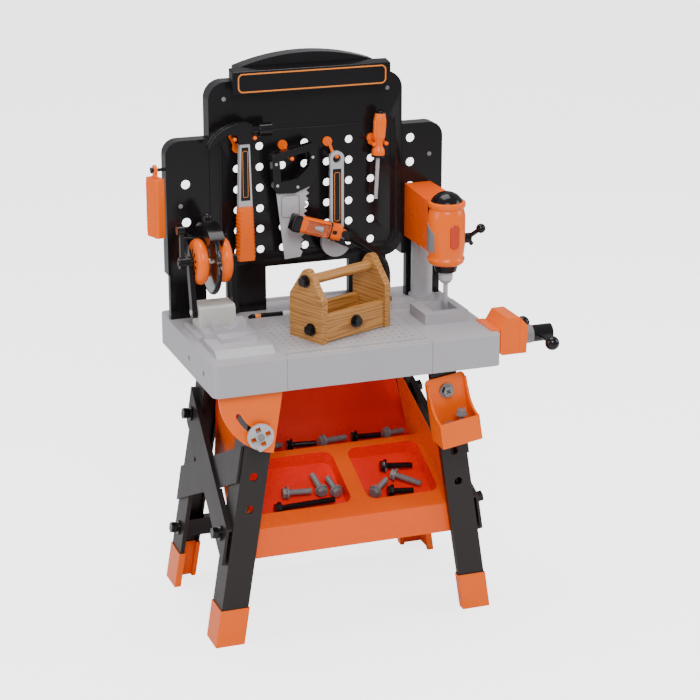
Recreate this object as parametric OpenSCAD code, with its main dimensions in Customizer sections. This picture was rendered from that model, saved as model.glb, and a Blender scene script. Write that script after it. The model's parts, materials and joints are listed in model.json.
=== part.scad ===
// Toy tool bench: splayed legs, storage tray, moulded top with play machines,
// pegboard back with hanging tools.  Millimetres, +Z up, floor at z = 0.

/* [Bench top] */
// Width of the bench top
top_w = 516; // [490:1:640]
// Depth of the bench top
top_d = 334; // [320:1:400]
// Height of the work surface above the floor
top_h = 520; // [480:1:640]
// Height of the apron round the top
apron_h = 56; // [46:1:60]
// Wall thickness of the moulded top
top_wall = 4; // [3:0.5:5]
// Width of each end section of the top
end_w = 128; // [126:1:140]

/* [Legs] */
// Width of a leg channel
leg_w = 48; // [42:1:56]
// Depth of a leg channel, front to back
leg_d = 53; // [46:1:58]
// Wall thickness of a leg channel
leg_wall = 4; // [3:0.5:5]
// Sideways run of a leg for each millimetre of height
leg_splay = 0.155; // [0.12:0.005:0.18]
// Backward lean of the back legs in degrees
back_lean = 2.3; // [0:0.1:3]
// Height of the foot caps
foot_h = 68; // [55:1:85]
// Thickness of a foot cap outside its leg
foot_skin = 2.2; // [1.5:0.1:3]

/* [Braces and bolts] */
// Width of a side brace
brace_w = 58; // [48:1:64]
// Thickness of a side brace
brace_t = 5; // [4:0.5:6]
// Diameter of the frame bolts
bolt_d = 8; // [6:0.5:9]
// Width of the rear stretcher, top to bottom
stretcher_h = 32; // [26:1:38]

/* [Storage tray] */
// Wall thickness of the tray
tray_wall = 3; // [2.5:0.5:4]
// Depth of the two sloping pockets
pocket_depth = 28; // [20:1:32]
// Height of the front apron's lower edge
tray_bottom = 150; // [130:1:165]

/* [Pegboard] */
// Width of the middle panel
panel_w = 356; // [330:1:372]
// Depth of the middle panel's rim
panel_d = 34; // [26:1:36]
// Diameter of the peg holes
peg_hole_d = 14; // [10:0.5:15]
// Sideways pitch of the peg holes
peg_pitch_x = 41.3; // [38:0.1:43]
// Upright pitch of the peg holes
peg_pitch_z = 37.1; // [34:0.1:38]

/* [Drill press] */
// Diameter of the column
column_d = 39; // [32:1:42]
// Diameter of the drill head
head_d = 66; // [56:1:70]
// Downward stroke of the drill head
drill_stroke = 15; // [8:1:16]

/* [Chop saw] */
// Diameter of the clear blade
blade_d = 118; // [90:1:120]
// Diameter of the blade axle
axle_d = 10; // [8:0.5:12]

/* [Vise] */
// Length of the vise jaw, front to back
jaw_len = 70; // [56:1:84]
// Outward travel of the vise jaw
jaw_travel = 25; // [10:1:30]

/* [Tool box] */
// Length of the tool box
box_len = 160; // [135:1:166]
// Width of the tool box
box_w = 82; // [70:1:86]
// Thickness of the tool box ends
box_end_t = 13; // [10:1:16]

/* [Clearances] */
// Gap between neighbouring pieces that do not touch
gap = 0.3; // [0.2:0.05:0.4]
// Radial clearance of a turning or sliding fit
run_fit = 0.1; // [0.05:0.01:0.1]

/* [Hidden] */
$fn = 48;

orange = "#f47a1c";
black = "#221f20";
brown_black = "#3a3130";
grey = "#b4b1b6";
steel = "#8d8f94";
wood = "#b8742c";

under_top = top_h - top_wall;
apron_z = top_h - apron_h;
half_w = top_w / 2;
seam = 0.4;
seam_x = half_w - end_w;

// legs: the outer face of a right leg runs along x = leg_x(z)
front_y = 26;
back_y = top_d + 13;
leg_out = half_w - 3;
leg_lip = 8;
inner_lip = 13;
splay_a = atan(leg_splay);
socket_depth = 20;
web_hole_d = 15;
web_hole_z = [249, 307];
function leg_x(z) = leg_out - leg_splay * z;
function back_leg_y(z) = back_y - z * tan(back_lean);
function up(z) = z / cos(splay_a);

// braces: centre lines on the outer plane of the legs
bolt_front_y = front_y + 31;
bolt_low_z = 198;
bolt_high_z = 330;
bolt_back_y = back_leg_y(bolt_high_z) - 32;
fall_ends = [front_y + 3, back_leg_y(bolt_high_z) - 11];
rise_ends = [front_y + 4, back_leg_y(186) - 1];
rise_z = [331, 186];
stretcher_z = 107;
stretcher_y = [back_leg_y(stretcher_z) - 35, back_leg_y(stretcher_z) - inner_lip - 1.5];
stretcher_bolt_y = (stretcher_y[0] + stretcher_y[1]) / 2;
brace_out = gap + brace_t + gap + brace_t;
washer_t = 3;
head_h = 13;
function line_z(y, a, b) = a[1] + (y - a[0]) * (b[1] - a[1]) / (b[0] - a[0]);
function fall_z(y) = line_z(y, [bolt_front_y, bolt_low_z], [bolt_back_y, bolt_high_z]);
function rise_zc(y) = line_z(y, [rise_ends[0], rise_z[0]], [rise_ends[1], rise_z[1]]);

// storage tray: side view, from the front apron up the sloping face to the back panel
tray_inset = leg_w / 2 + 3;
tray_y = front_y + inner_lip + 1;
crease_z = 204;
lip = [206, 276];
trough = [212, 250, 262];
tray_back = [back_leg_y(apron_z) - leg_wall - 0.8, apron_z - 1];
face_a = atan((lip[1] - crease_z) / (lip[0] - tray_y));
pocket_u = [35, 166];
pocket_x = [[-176, 12], [41, 176]];
pocket_r = 18;

// pegboard
board_y = top_d - 58.5;
sheet = 3;
panel_z = [top_h + 80, top_h + 415];
wing_z = [top_h + 80, top_h + 318];
wing_d = 29;
wing_gap = 0.5;
post_d = 14;
post_outer = [half_w - 4.5, half_w - 70];
post_inner = [149, 78];
arch_half = 125;
arch_z = [top_h + 437, top_h + 458];
arch_r = (pow(arch_half, 2) + pow(arch_z[1] - arch_z[0], 2)) / (2 * (arch_z[1] - arch_z[0]));
peg_cols = 7;
peg_rows = 6;
peg_x0 = -3 * peg_pitch_x - 4;
peg_z0 = top_h + 112.3;
function peg_x(i) = peg_x0 + i * peg_pitch_x;
function peg_z(j) = peg_z0 + j * peg_pitch_z;
hook_z = peg_z(peg_rows - 1);
face_y = board_y + 1.5;
wing_hole_d = 16;
left_wing_holes = [[half_w - 37, top_h + 240.6], [half_w - 37, top_h + 173]];
right_wing_holes = [for (i = [0:3]) [half_w - 63.5, top_h + 160 + 44 * i]];

// chop saw on the left section
saw_x = -half_w + 59;
saw_pivot = [board_y - 85.5, top_h + 37];
saw_axle = [board_y - 68, top_h + 121];
saw_half = 32;
arm_t = 9;
pivot_d = 10;
drum_d = 80;

// drill press on the right section
column = [half_w - 49, board_y - 24];
drill = [half_w - 52.5, column[1] - 122];
head_z = [top_h + 98, top_h + 210];
clamp_z = [top_h + 110, top_h + 210];
dome_r = 28;
dome_h = 17;
window_z = head_z[0] + 54;
column_top = clamp_z[1] - 6 - drill_stroke;
well = [half_w - 61, 131, 47, 46];
block = [half_w - 105, half_w - 24, 92, 166];
block_h = 20;
spindle_d = 12;
hub_z = top_h + 140;
well_floor = top_h + 3;
// the bit stops a millimetre above the floor of the well
bit_tip = well_floor + drill_stroke + 1;

// vise on the right-hand edge
vise_y = 57;
vise_z = top_h - 24;
jaw_x = half_w + 7;
jaw_t = 52;
barrel_d = 32;
barrel_len = 46;
screw_d = 14;
tbar_half = 62;
tbar_x = jaw_x + jaw_t + 34;
ball_d = 25;

// bevel gauge plate and handwheel on the front left leg
bevel = [-half_w + 124, apron_z - 2];
bevel_r = 112;
slot_r = 87;
slot_w = 9;
wheel_a = 241;
bevel_travel = 35;
bevel_y = [14, 18];
wheel_d = 46;

// parts bin on the front right leg
bin_w = 74;
bin_d = 50;
bin_h = 112;
bin_box_h = 45;
bin_z = 338;
bin_screw_z = 86;

// hanging case on a pin at the left wing
case_pin = [board_y + 12, top_h + 268];
case_x = -half_w - 14;
case_size = [36, 19, 104];
case_turn = -72;
pin_d = 6;

// tools hang in one plane in front of the board
tool_y = board_y - 28;
hammer_x = peg_x(0) + 4;
saw_hook_x = peg_x(2);
wrench_x = peg_x(4) + 8;
driver_x = peg_x(6) + 6;

// tool box: front left corner on the bench top, turned about z
box_corner = [-52, 49.5];
box_turn = 23;
box_shoulder = 76;
box_apex = 124;
board_h = 48;
bar_d = 18;
bar_z = 104;

// flashlight
light_y = board_y - 60;
light_base = [126.5, top_h + 14];
light_start = [34, top_h + 144.5];
neck_d = 15;
neck_tilt = 34;
neck_bend = 60;
light_tilt = 17;

// the origin is the middle of the bounding box, on the floor
origin_x = (jaw_x + jaw_t + barrel_len + 13 + case_x - 13.3) / 2;
origin_y = (back_y + foot_skin + front_y - gap - bin_d) / 2;

module at_origin() { translate([-origin_x, -origin_y, 0]) children(); }
module both_sides() { children(); mirror([1, 0, 0]) children(); }
module rounded(w, d, r) {
    square([w - 2 * r, d], center = true);
    square([w, d - 2 * r], center = true);
    for (x = [-1, 1], y = [-1, 1]) translate([x * (w / 2 - r), y * (d / 2 - r)]) circle(r);
}
module box(x, y, z) { translate([x[0], y[0], z[0]]) cube([x[1] - x[0], y[1] - y[0], z[1] - z[0]]); }
// an outline in x and z, extruded from y0 to y1
module along_y(y0, y1) { translate([0, y1, 0]) rotate([90, 0, 0]) linear_extrude(y1 - y0) children(); }
// an outline in y and z, extruded from x0 to x1
module along_x(x0, x1) { translate([x0, 0, 0]) rotate([90, 0, 90]) linear_extrude(x1 - x0) children(); }
module rod_x(p, x0, x1, d) { translate([x0, p[0], p[1]]) rotate([0, 90, 0]) cylinder(h = x1 - x0, d = d); }
module rod_y(p, y0, y1, d) { translate([p[0], y1, p[1]]) rotate([90, 0, 0]) cylinder(h = y1 - y0, d = d); }
module rod_z(p, z0, z1, d) { translate([p[0], p[1], z0]) cylinder(h = z1 - z0, d = d); }

// ---- legs and feet ----
module leg_strip(a, b, y0, y1, z0, z1) {
    along_y(y0, y1) polygon([[leg_x(z0) - a, z0], [leg_x(z0) - b, z0],
        [leg_x(z1) - b, z1], [leg_x(z1) - a, z1]]);
}
// channel with its web at y = 0, its flange outside and a return lip; grow is its skin
module leg_channel(z0, z1, grow, wall, fit) {
    leg_strip(-grow, leg_w + grow, -grow, wall, z0, z1);
    leg_strip(-grow, wall, -grow, leg_d + grow, z0, z1);
    leg_strip(-grow, leg_lip + fit, leg_d - wall, leg_d + grow, z0, z1);
    leg_strip(leg_w - wall, leg_w + grow, -grow, inner_lip + fit, z0, z1);
}
module trim_ends() {
    difference() {
        children();
        box([-half_w - 20, half_w + 20], [-60, back_y + 60], [under_top, top_h + 60]);
        box([-half_w - 20, half_w + 20], [-60, back_y + 60], [-60, 0]);
    }
}
module at_front() { translate([0, front_y, 0]) children(); }
module at_back() { translate([0, back_y, 0]) rotate([back_lean, 0, 0]) mirror([0, 1, 0]) children(); }
module on_side() { translate([leg_out, 0, 0]) rotate([0, -splay_a, 0]) children(); }
module side_bore(p, x0, x1, d) { on_side() rod_x([p[0], up(p[1])], x0, x1, d); }
fall_bolts = [[bolt_front_y, fall_z(bolt_front_y)], [bolt_back_y, fall_z(bolt_back_y)]];
rise_pins = [[bolt_front_y, rise_zc(bolt_front_y)], [bolt_back_y + 3, rise_zc(bolt_back_y + 3)]];
stretcher_bolt = [stretcher_bolt_y, stretcher_z];
module leg_bores() {
    for (p = concat(fall_bolts, rise_pins, [stretcher_bolt]))
        side_bore(p, -leg_wall - 3, 4, bolt_d + 2 * run_fit);
}
module leg_blank() { leg_channel(foot_h - socket_depth, top_h + 8, 0, leg_wall, 0); }
module front_leg() {
    difference() {
        trim_ends() at_front() leg_blank();
        leg_bores();
        for (z = web_hole_z) rod_y([leg_x(z) - leg_w / 2, z], front_y - 2, front_y + 9, web_hole_d);
    }
}
module back_leg() { difference() { trim_ends() at_back() leg_blank(); leg_bores(); } }
module foot_blank() {
    difference() {
        leg_channel(-6, foot_h, foot_skin, leg_wall + 2.2, 2.2);
        leg_channel(foot_h - socket_depth, foot_h + 1, run_fit, leg_wall + run_fit, run_fit);
    }
}
module leg_front_left() at_origin() color(brown_black) mirror([1, 0, 0]) front_leg();
module leg_front_right() at_origin() color(brown_black) difference() {
    front_leg();
    on_bin() rod_y([0, bin_screw_z], -1, leg_wall + 9, bolt_d + 2 * run_fit);
}
module leg_back_left() at_origin() color(brown_black) mirror([1, 0, 0]) back_leg();
module leg_back_right() at_origin() color(brown_black) back_leg();
module feet() at_origin() color(orange) both_sides() {
    trim_ends() at_front() foot_blank();
    trim_ends() at_back() foot_blank();
}

// ---- braces, stretcher and bolts ----
function band(ends, mid, grow) = [for (p = [[0, -1], [1, -1], [1, 1], [0, 1]])
    [ends[p[0]] + (2 * p[0] - 1) * grow, up(mid[p[0]] + p[1] * (brace_w / 2 * 1.12 + grow))]];
fall_band = band(fall_ends, [fall_z(fall_ends[0]), fall_z(fall_ends[1])], 0);
rise_band = band(rise_ends, rise_z, 0);
rise_clear = band(rise_ends, rise_z, 1);
module side_braces_falling() at_origin() color(brown_black) both_sides() difference() {
    on_side() {
        along_x(brace_out - brace_t, brace_out) polygon(fall_band);
        difference() {
            along_x(gap, brace_out) polygon(fall_band);
            along_x(0, brace_out - brace_t) polygon(rise_clear);
            along_x(0, brace_out - brace_t) polygon([for (i = [0:3])
                [fall_band[i][0], fall_band[i][1] + (i < 2 ? 4 : -4)]]);
        }
        for (p = fall_bolts) rod_x([p[0], up(p[1])], gap, brace_out, 24);
    }
    for (p = fall_bolts) side_bore(p, -1, brace_out + 1, bolt_d + 2 * run_fit);
}
module side_braces_rising() at_origin() color(brown_black) both_sides() on_side() {
    along_x(gap, gap + brace_t) polygon(rise_band);
    for (p = rise_pins) rod_x([p[0], up(p[1])], -leg_wall - 2, gap + 1, bolt_d);
}
module rear_stretcher() at_origin() color(black) difference() {
    reach = leg_x(stretcher_z + stretcher_h) - leg_wall - 2;
    box([-reach, reach], stretcher_y, [stretcher_z - stretcher_h / 2, stretcher_z + stretcher_h / 2]);
    box([-reach + 40, reach - 40], [stretcher_y[0] + 4, back_y],
        [stretcher_z - stretcher_h / 2 + 4, stretcher_z + stretcher_h / 2 - 4]);
    both_sides() side_bore(stretcher_bolt, -44, 10, bolt_d + 2 * run_fit);
}
// bolt with a washer face on x = face, seen from outside; a nut sits at x = nut
module frame_bolt(p, face, reach) {
    on_side() translate([0, p[0], up(p[1])]) {
        rod_x([0, 0], reach, face + 1, bolt_d);
        rod_x([0, 0], face + 0.1, face + washer_t, 26);
        rod_x([0, 0], face + washer_t - 0.5, face + washer_t + 4, 16);
        translate([face + washer_t + 3, 0, 0]) rotate([0, 90, 0]) cylinder(h = head_h - 3, d = 21, $fn = 6);
    }
}
module frame_nut(p) {
    on_side() translate([-leg_wall - 7 - gap, p[0], up(p[1])]) rotate([0, 90, 0]) difference() {
        cylinder(h = 7, d = 18, $fn = 6);
        translate([0, 0, -1]) cylinder(h = 9, d = bolt_d + 2 * run_fit);
    }
}
module frame_bolts() at_origin() color(black) {
    both_sides() {
        for (p = fall_bolts) frame_bolt(p, brace_out, -leg_wall - 10);
        for (p = fall_bolts) frame_nut(p);
        frame_bolt(stretcher_bolt, 0, -36);
    }
    // cross-recess screw that holds the parts bin
    on_bin() difference() {
        union() {
            rod_y([0, bin_screw_z], -tray_wall - 3, -tray_wall - 0.1, 26);
            translate([0, -tray_wall - 3, bin_screw_z]) rotate([90, 0, 0]) cylinder(h = 8, d = 20, $fn = 6);
            rod_y([0, bin_screw_z], -tray_wall - 1, leg_wall + 8, bolt_d);
        }
        for (a = [45, 135]) translate([0, -tray_wall - 9, bin_screw_z]) rotate([0, a, 0])
            cube([9, 8, 2.4], center = true);
    }
}

// ---- storage tray ----
module tray_side_plan(a) {
    along_y(0, back_y) polygon([[leg_x(100) - a, 100], [-leg_x(100) + a, 100],
        [-leg_x(apron_z) + a, apron_z], [leg_x(apron_z) - a, apron_z]]);
}
module tray_profile() {
    t = tray_wall;
    polygon([[tray_y, tray_bottom], [tray_y + t, tray_bottom], [tray_y + t, crease_z], [tray_y, crease_z]]);
    polygon([[tray_y, crease_z], [tray_y, crease_z - t * 1.1], [lip[0], lip[1] - t * 1.1], lip]);
    polygon([[lip[0] - t, lip[1] - 4], lip, [trough[0], trough[2]], [trough[0] - t, trough[2] - t]]);
    polygon([[trough[0] - t, trough[2] - t], [trough[1], trough[2] - t], [trough[1], trough[2]],
        [trough[0] - t, trough[2]]]);
    polygon([[trough[1] - t, trough[2] - t], [trough[1], trough[2] - t], tray_back,
        [tray_back[0] - t * 1.05, tray_back[1]]]);
}
module tray_side_outline() {
    polygon([[tray_y, tray_bottom], [tray_y + 40, tray_bottom], [trough[0], trough[2] - tray_wall],
        [trough[1], trough[2] - tray_wall], [tray_back[0] - 50, 391], [tray_back[0] - 60, 391],
        [tray_y, 259]]);
}
module on_face() { translate([0, tray_y, crease_z]) rotate([face_a, 0, 0]) children(); }
module pocket_plan(p, grow) {
    translate([(p[0] + p[1]) / 2, (pocket_u[0] + pocket_u[1]) / 2])
        rounded(p[1] - p[0] + 2 * grow, pocket_u[1] - pocket_u[0] + 2 * grow, pocket_r + grow);
}
module storage_tray() at_origin() color(orange) difference() {
    union() {
        intersection() {
            along_x(-half_w, half_w) tray_profile();
            tray_side_plan(tray_inset);
        }
        both_sides() intersection() {
            leg_strip(tray_inset, tray_inset + tray_wall, tray_y, back_y, 100, 450);
            along_x(0, half_w) tray_side_outline();
        }
        on_face() translate([0, 0, -pocket_depth - 2.5]) for (p = pocket_x)
            linear_extrude(pocket_depth + 1) pocket_plan(p, 2.5);
    }
    on_face() translate([0, 0, -pocket_depth]) for (p = pocket_x)
        linear_extrude(pocket_depth + 20) pocket_plan(p, 0);
    // notches for the inner lips of the back legs
    both_sides() at_back()
        leg_strip(leg_w - leg_wall - gap, leg_w + gap, -1, inner_lip + gap, 420, top_h);
}

// ---- bench top ----
module top_shell(x0, x1, wall_left, wall_right) {
    difference() {
        intersection() {
            translate([0, top_d / 2, apron_z]) linear_extrude(apron_h) rounded(top_w, top_d, 12);
            box([x0, x1], [-1, top_d + 1], [apron_z - 1, top_h + 1]);
        }
        box([x0 + (wall_left ? top_wall : -1), x1 - (wall_right ? top_wall : -1)],
            [top_wall, top_d - top_wall], [apron_z - 1, under_top]);
    }
}
// block with a sloping front, for the stepped mouldings on the left section
module wedge_block(x, y, z, slope) {
    along_x(x[0], x[1]) polygon([[y[0], z[0]], [y[1], z[0]], [y[1], z[1]], [y[0] + slope, z[1]]]);
}
module top_left() at_origin() color(grey) difference() {
    union() {
        top_shell(-half_w, -seam_x - seam, true, false);
        wedge_block([saw_x - 42, saw_x + 60], [35, 118], [top_h - 1, top_h + 11], 16);
        wedge_block([saw_x - 20, saw_x + 42], [80, 118], [top_h, top_h + 19], 3);
        saddle_block();
        box([saw_x - saw_half - 13, saw_x - saw_half - gap], [132, 226], [top_h - 1, top_h + 9]);
    }
    rod_y([saw_x + 4, top_h + 44], 90, 160, 36);
    for (y = [59, 148]) rod_x([y, top_h - 30], -half_w - 1, -half_w + top_wall + 1, 10);
}
module saddle_block() {
    wedge_block([saw_x - 38, saw_x + 44], [112, 146], [top_h - 1, top_h + 21], 2);
    wedge_block([saw_x - 24, saw_x + 34], [112, 140], [top_h, top_h + 38], 2);
}
module top_center() at_origin() color(grey) difference() {
    union() {
        top_shell(-seam_x, seam_x, false, false);
        box([40, seam_x], [196, top_d - 72], [top_h - 1, top_h + 14]);
        box([-seam_x + 2, seam_x], [top_d - 12, top_d - 4], [top_h - 1, top_h + 5]);
    }
    box([-seam_x + 2.7, seam_x - 2.7], [10.7, 27.3], [top_h - 1.2, top_h + 1]);
    rod_x([pen_at[1], pen_at[2]], pen_at[0] - 2, -10, pen_d + 2);
    rod_z(light_at, top_h - 1, top_h + 20, neck_d + 2 * run_fit);
}
pen_d = 9;
pen_at = [-123, 240, top_h + 1.5];
light_at = [light_base[0], light_y];
module top_right() at_origin() color(grey) difference() {
    union() {
        top_shell(seam_x + seam, half_w, false, true);
        box([block[0], block[1]], [block[2], block[3]], [top_h - 1, top_h + block_h]);
        rod_z(column, top_h - 14, top_h + 9, column_d + 8);
        box([seam_x + seam, half_w - 82], [196, 224], [top_h - 1, top_h + 14]);
        rod_x([vise_y, vise_z], half_w - top_wall - 22, half_w, screw_d + 10);
    }
    translate([well[0] - well[2] / 2, well[1] - well[3] / 2, well_floor])
        cube([well[2], well[3], block_h]);
    rod_z(column, top_h - 10, top_h + 20, column_d);
    rod_z(light_at, top_h - 1, top_h + 20, neck_d + 2 * run_fit);
    rod_x([vise_y, vise_z], half_w - top_wall - 26, half_w + 1, screw_d + 2 * run_fit);
    for (y = [vise_y - 22, vise_y + 22]) rod_x([y, vise_z], half_w - 8, half_w + 1, 6);
}
module ruler_strip() at_origin() color("#e6e6ea")
    box([-seam_x + 3, seam_x - 3], [11, 27], [top_h - 1.2, top_h + 0.6]);

// ---- pegboard ----
module panel_outline() {
    translate([0, (panel_z[0] + panel_z[1]) / 2]) rounded(panel_w, panel_z[1] - panel_z[0], 32);
    intersection() {
        translate([0, arch_z[1] - arch_r]) circle(arch_r, $fn = 180);
        translate([-arch_half, panel_z[1] - 40]) square([2 * arch_half, 100]);
    }
}
// the same outline drawn one wall thickness inside, for the hollow back
module panel_hollow() {
    t = sheet + 1;
    translate([0, (panel_z[0] + panel_z[1]) / 2])
        rounded(panel_w - 2 * t, panel_z[1] - panel_z[0] - 2 * t, 32 - t);
    intersection() {
        translate([0, arch_z[1] - arch_r]) circle(arch_r - t, $fn = 180);
        translate([-arch_half + t, panel_z[1] - 40]) square([2 * (arch_half - t), 100]);
    }
}
// upright channel from the bench top to the board, open at the back
module post(x, z_top) {
    difference() {
        box(x, [board_y, board_y + post_d], [top_h, z_top]);
        box([x[0] + sheet, x[1] - sheet], [board_y + sheet, board_y + post_d + 1], [top_h - 1, z_top + 1]);
    }
}
module pegboard_panel() at_origin() color(black) difference() {
    union() {
        difference() {
            along_y(board_y, board_y + panel_d) panel_outline();
            along_y(board_y + sheet + 1.5, board_y + panel_d + 1) panel_hollow();
        }
        both_sides() post([post_inner[1], post_inner[0]], panel_z[0] + 8);
    }
    // shallow field round the holes, with a ridge along it
    along_y(board_y - 1, face_y) difference() {
        translate([0, top_h + 215]) rounded(2 * 166, 236, 20);
        difference() {
            translate([0, top_h + 215]) rounded(2 * 160, 224, 17);
            translate([0, top_h + 215]) rounded(2 * 157, 218, 15);
        }
    }
    for (i = [0:peg_cols - 1], j = [0:peg_rows - 1])
        rod_y([peg_x(i), peg_z(j)], board_y - 2, board_y + 10, peg_hole_d);
}
module wing(holes) {
    x0 = panel_w / 2 + wing_gap;
    difference() {
        union() {
            difference() {
                along_y(board_y, board_y + wing_d) wing_outline(x0, 0);
                along_y(board_y + sheet, board_y + wing_d + 1) wing_outline(x0, sheet);
            }
            post([post_outer[1], post_outer[0]], wing_z[0] + 8);
        }
        for (p = holes) rod_y(p, board_y - 2, board_y + 8, wing_hole_d);
    }
}
module wing_outline(x0, t) {
    r = 26 - t;
    x = [x0 + t, half_w - 2 - t];
    z = [wing_z[0] + t, wing_z[1] - t];
    translate([x[0], z[0]]) square([x[1] - x[0] - r, z[1] - z[0]]);
    translate([x[0], z[0]]) square([x[1] - x[0], z[1] - z[0] - r]);
    translate([x[1] - r, z[1] - r]) circle(r);
}
module wing_left() at_origin() color(black) {
    mirror([1, 0, 0]) wing(left_wing_holes);
    rod_x(case_pin, case_x - 6, -half_w + 4, pin_d);
    rod_x(case_pin, case_x - 8, case_x - 5, pin_d + 5);
}
module wing_right() at_origin() color(black) wing(right_wing_holes);
module header_sign() at_origin() color(black) along_x(-141, 147)
    polygon([[board_y - 25, top_h + 395], [board_y - 25, top_h + 435], [board_y - 0.1, top_h + 439],
        [board_y - 0.1, top_h + 408]]);

// ---- hooks ----
module hook_base(x) {
    rod_y([x, hook_z], face_y - 0.2, face_y + 10, peg_hole_d - 2 * run_fit);
    rod_y([x, hook_z], face_y - 4, face_y - 0.1, peg_hole_d + 3);
}
// one prong from a hook base: a sloping stem, then straight forward to y_end
module hook_arm(x, dx, rise, y_end) {
    from = [x + sign(dx) * 3, face_y - 2.5, hook_z + sign(rise) * 2];
    to = [x + dx, face_y - 12, hook_z + rise];
    run = to - from;
    len = norm(run);
    translate(from) rotate([0, acos(run[2] / len), atan2(run[1], run[0])])
        cylinder(h = len, d = prong_d - 0.4);
    translate(to) sphere(d = prong_d + 1.6, $fn = 32);
    rod_y([to[0], to[2]], y_end + 2, to[1], prong_d);
    translate([to[0], y_end + 3.7, to[2]]) sphere(d = prong_d + 1, $fn = 32);
}
module tool_hooks() at_origin() color(orange) {
    hook_base(peg_x(0));
    for (s = [-1, 1]) hook_arm(peg_x(0), hammer_x - peg_x(0) + s * 18,
        head_at[2] - 9.5 - prong_d / 2 - hook_z, tool_y - 10);
    hook_base(saw_hook_x);
    hook_arm(saw_hook_x, hs[0] - saw_hook_x, hs[2] - 2.5 - prong_d / 2 - hook_z - 0.5, tool_y - 11);
    hook_base(peg_x(4));
    hook_arm(peg_x(4), wr[0] - peg_x(4), wr[2] + 7.6 - prong_d / 2 - hook_z - 0.8, tool_y - 4);
    hook_base(peg_x(6));
    for (s = [-1, 1]) hook_arm(peg_x(6), driver_x - peg_x(6) + s * 11.8, sd[2] - hook_z, tool_y - 5);
}
prong_d = 6.4;
module hanging_case() at_origin() color(orange) translate([case_x, case_pin[0], case_pin[1]]) {
    rotate([0, 0, case_turn]) translate([0, 0, -case_size[2] - 14])
        linear_extrude(case_size[2]) rounded(case_size[0], case_size[1], 5);
    difference() {
        rotate([0, 90, 0]) translate([0, 0, -3]) linear_extrude(6) {
            circle(9);
            translate([0, -7]) square([17, 14]);
        }
        rotate([0, 90, 0]) translate([0, 0, -4]) cylinder(h = 8, d = pin_d + 2 * run_fit);
    }
}

// ---- chop saw ----
module saw_base() at_origin() color("#e2e0d6") difference() {
    p = saw_pivot;
    translate([saw_x, 0, 0]) union() {
        along_x(-saw_half, saw_half) polygon([[p[0] - 25, top_h], [p[0] - 19, p[1] + 9],
            [p[0] - 15, p[1] + 13], [p[0] + 26, p[1] + 13], [p[0] + 26, top_h]]);
        rod_x(p, -saw_half - arm_t - 2, saw_half + arm_t + 2, pivot_d);
    }
    translate([saw_x, 0, 0]) box([-24, 24], [p[0] - 14, p[0] + 22], [top_h - 1, top_h + 18]);
}
module arm_outline() {
    p = saw_pivot;
    q = saw_axle;
    a = atan2(q[1] - p[1], q[0] - p[0]);
    translate(p) circle(10.5);
    translate(q) circle(10.5);
    translate(p) rotate(a) translate([0, -8]) square([norm(q - p), 16]);
}
module saw_arms() at_origin() color(black) translate([saw_x, 0, 0]) {
    difference() {
        for (s = [-1, 1]) translate([s * (saw_half + gap + arm_t / 2), 0, 0])
            along_x(-arm_t / 2, arm_t / 2) arm_outline();
        rod_x(saw_pivot, -60, 60, pivot_d + 2 * run_fit);
        rod_x(saw_axle, -60, 60, axle_d + 2 * run_fit);
    }
    // hood over the blade, a bridge from arm to arm and a thumb grip
    difference() {
        along_x(-hood_half, hood_half) intersection() {
            translate(saw_axle) circle(blade_d / 2 + 8);
            translate(saw_axle) sector(2 * blade_d, hood_ends[0], hood_ends[1]);
        }
        along_x(3 - hood_half, hood_half - 3) translate(saw_axle) circle(blade_d / 2 + 4);
        along_x(-hood_half - 1, hood_half + 1) translate(saw_axle) circle(drum_d / 2 + 3);
    }
    for (s = [-1, 1]) along_x(s > 0 ? hood_half - 1 : -saw_half - arm_t,
        s > 0 ? saw_half + arm_t : 1 - hood_half)
        hood_bar();
    for (s = [-1, 1]) along_x(s > 0 ? saw_half + gap : -saw_half - gap - arm_t,
        s > 0 ? saw_half + gap + arm_t : -saw_half - gap) hood_stay();
    translate([0, saw_axle[0], saw_axle[1]]) rotate([-horn_a, 0, 0]) translate([0, 0, blade_d / 2 + 6]) {
        cylinder(h = 9, d = 15);
        translate([0, 0, 9]) sphere(d = 17);
    }
}
hood_half = 13;
hood_ends = [30, 134];
hood_a = 38;
hood_mid = drum_d / 2 + 10;
horn_a = 12;
crank_r = 58;
module hood_bar() { translate(saw_axle) rotate(hood_a) translate([hood_mid, 0]) circle(4); }
module hood_stay() {
    translate(saw_axle) rotate(hood_a) {
        translate([8, -4.5]) square([hood_mid - 8, 9]);
        translate([hood_mid, 0]) circle(5);
    }
}
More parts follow.
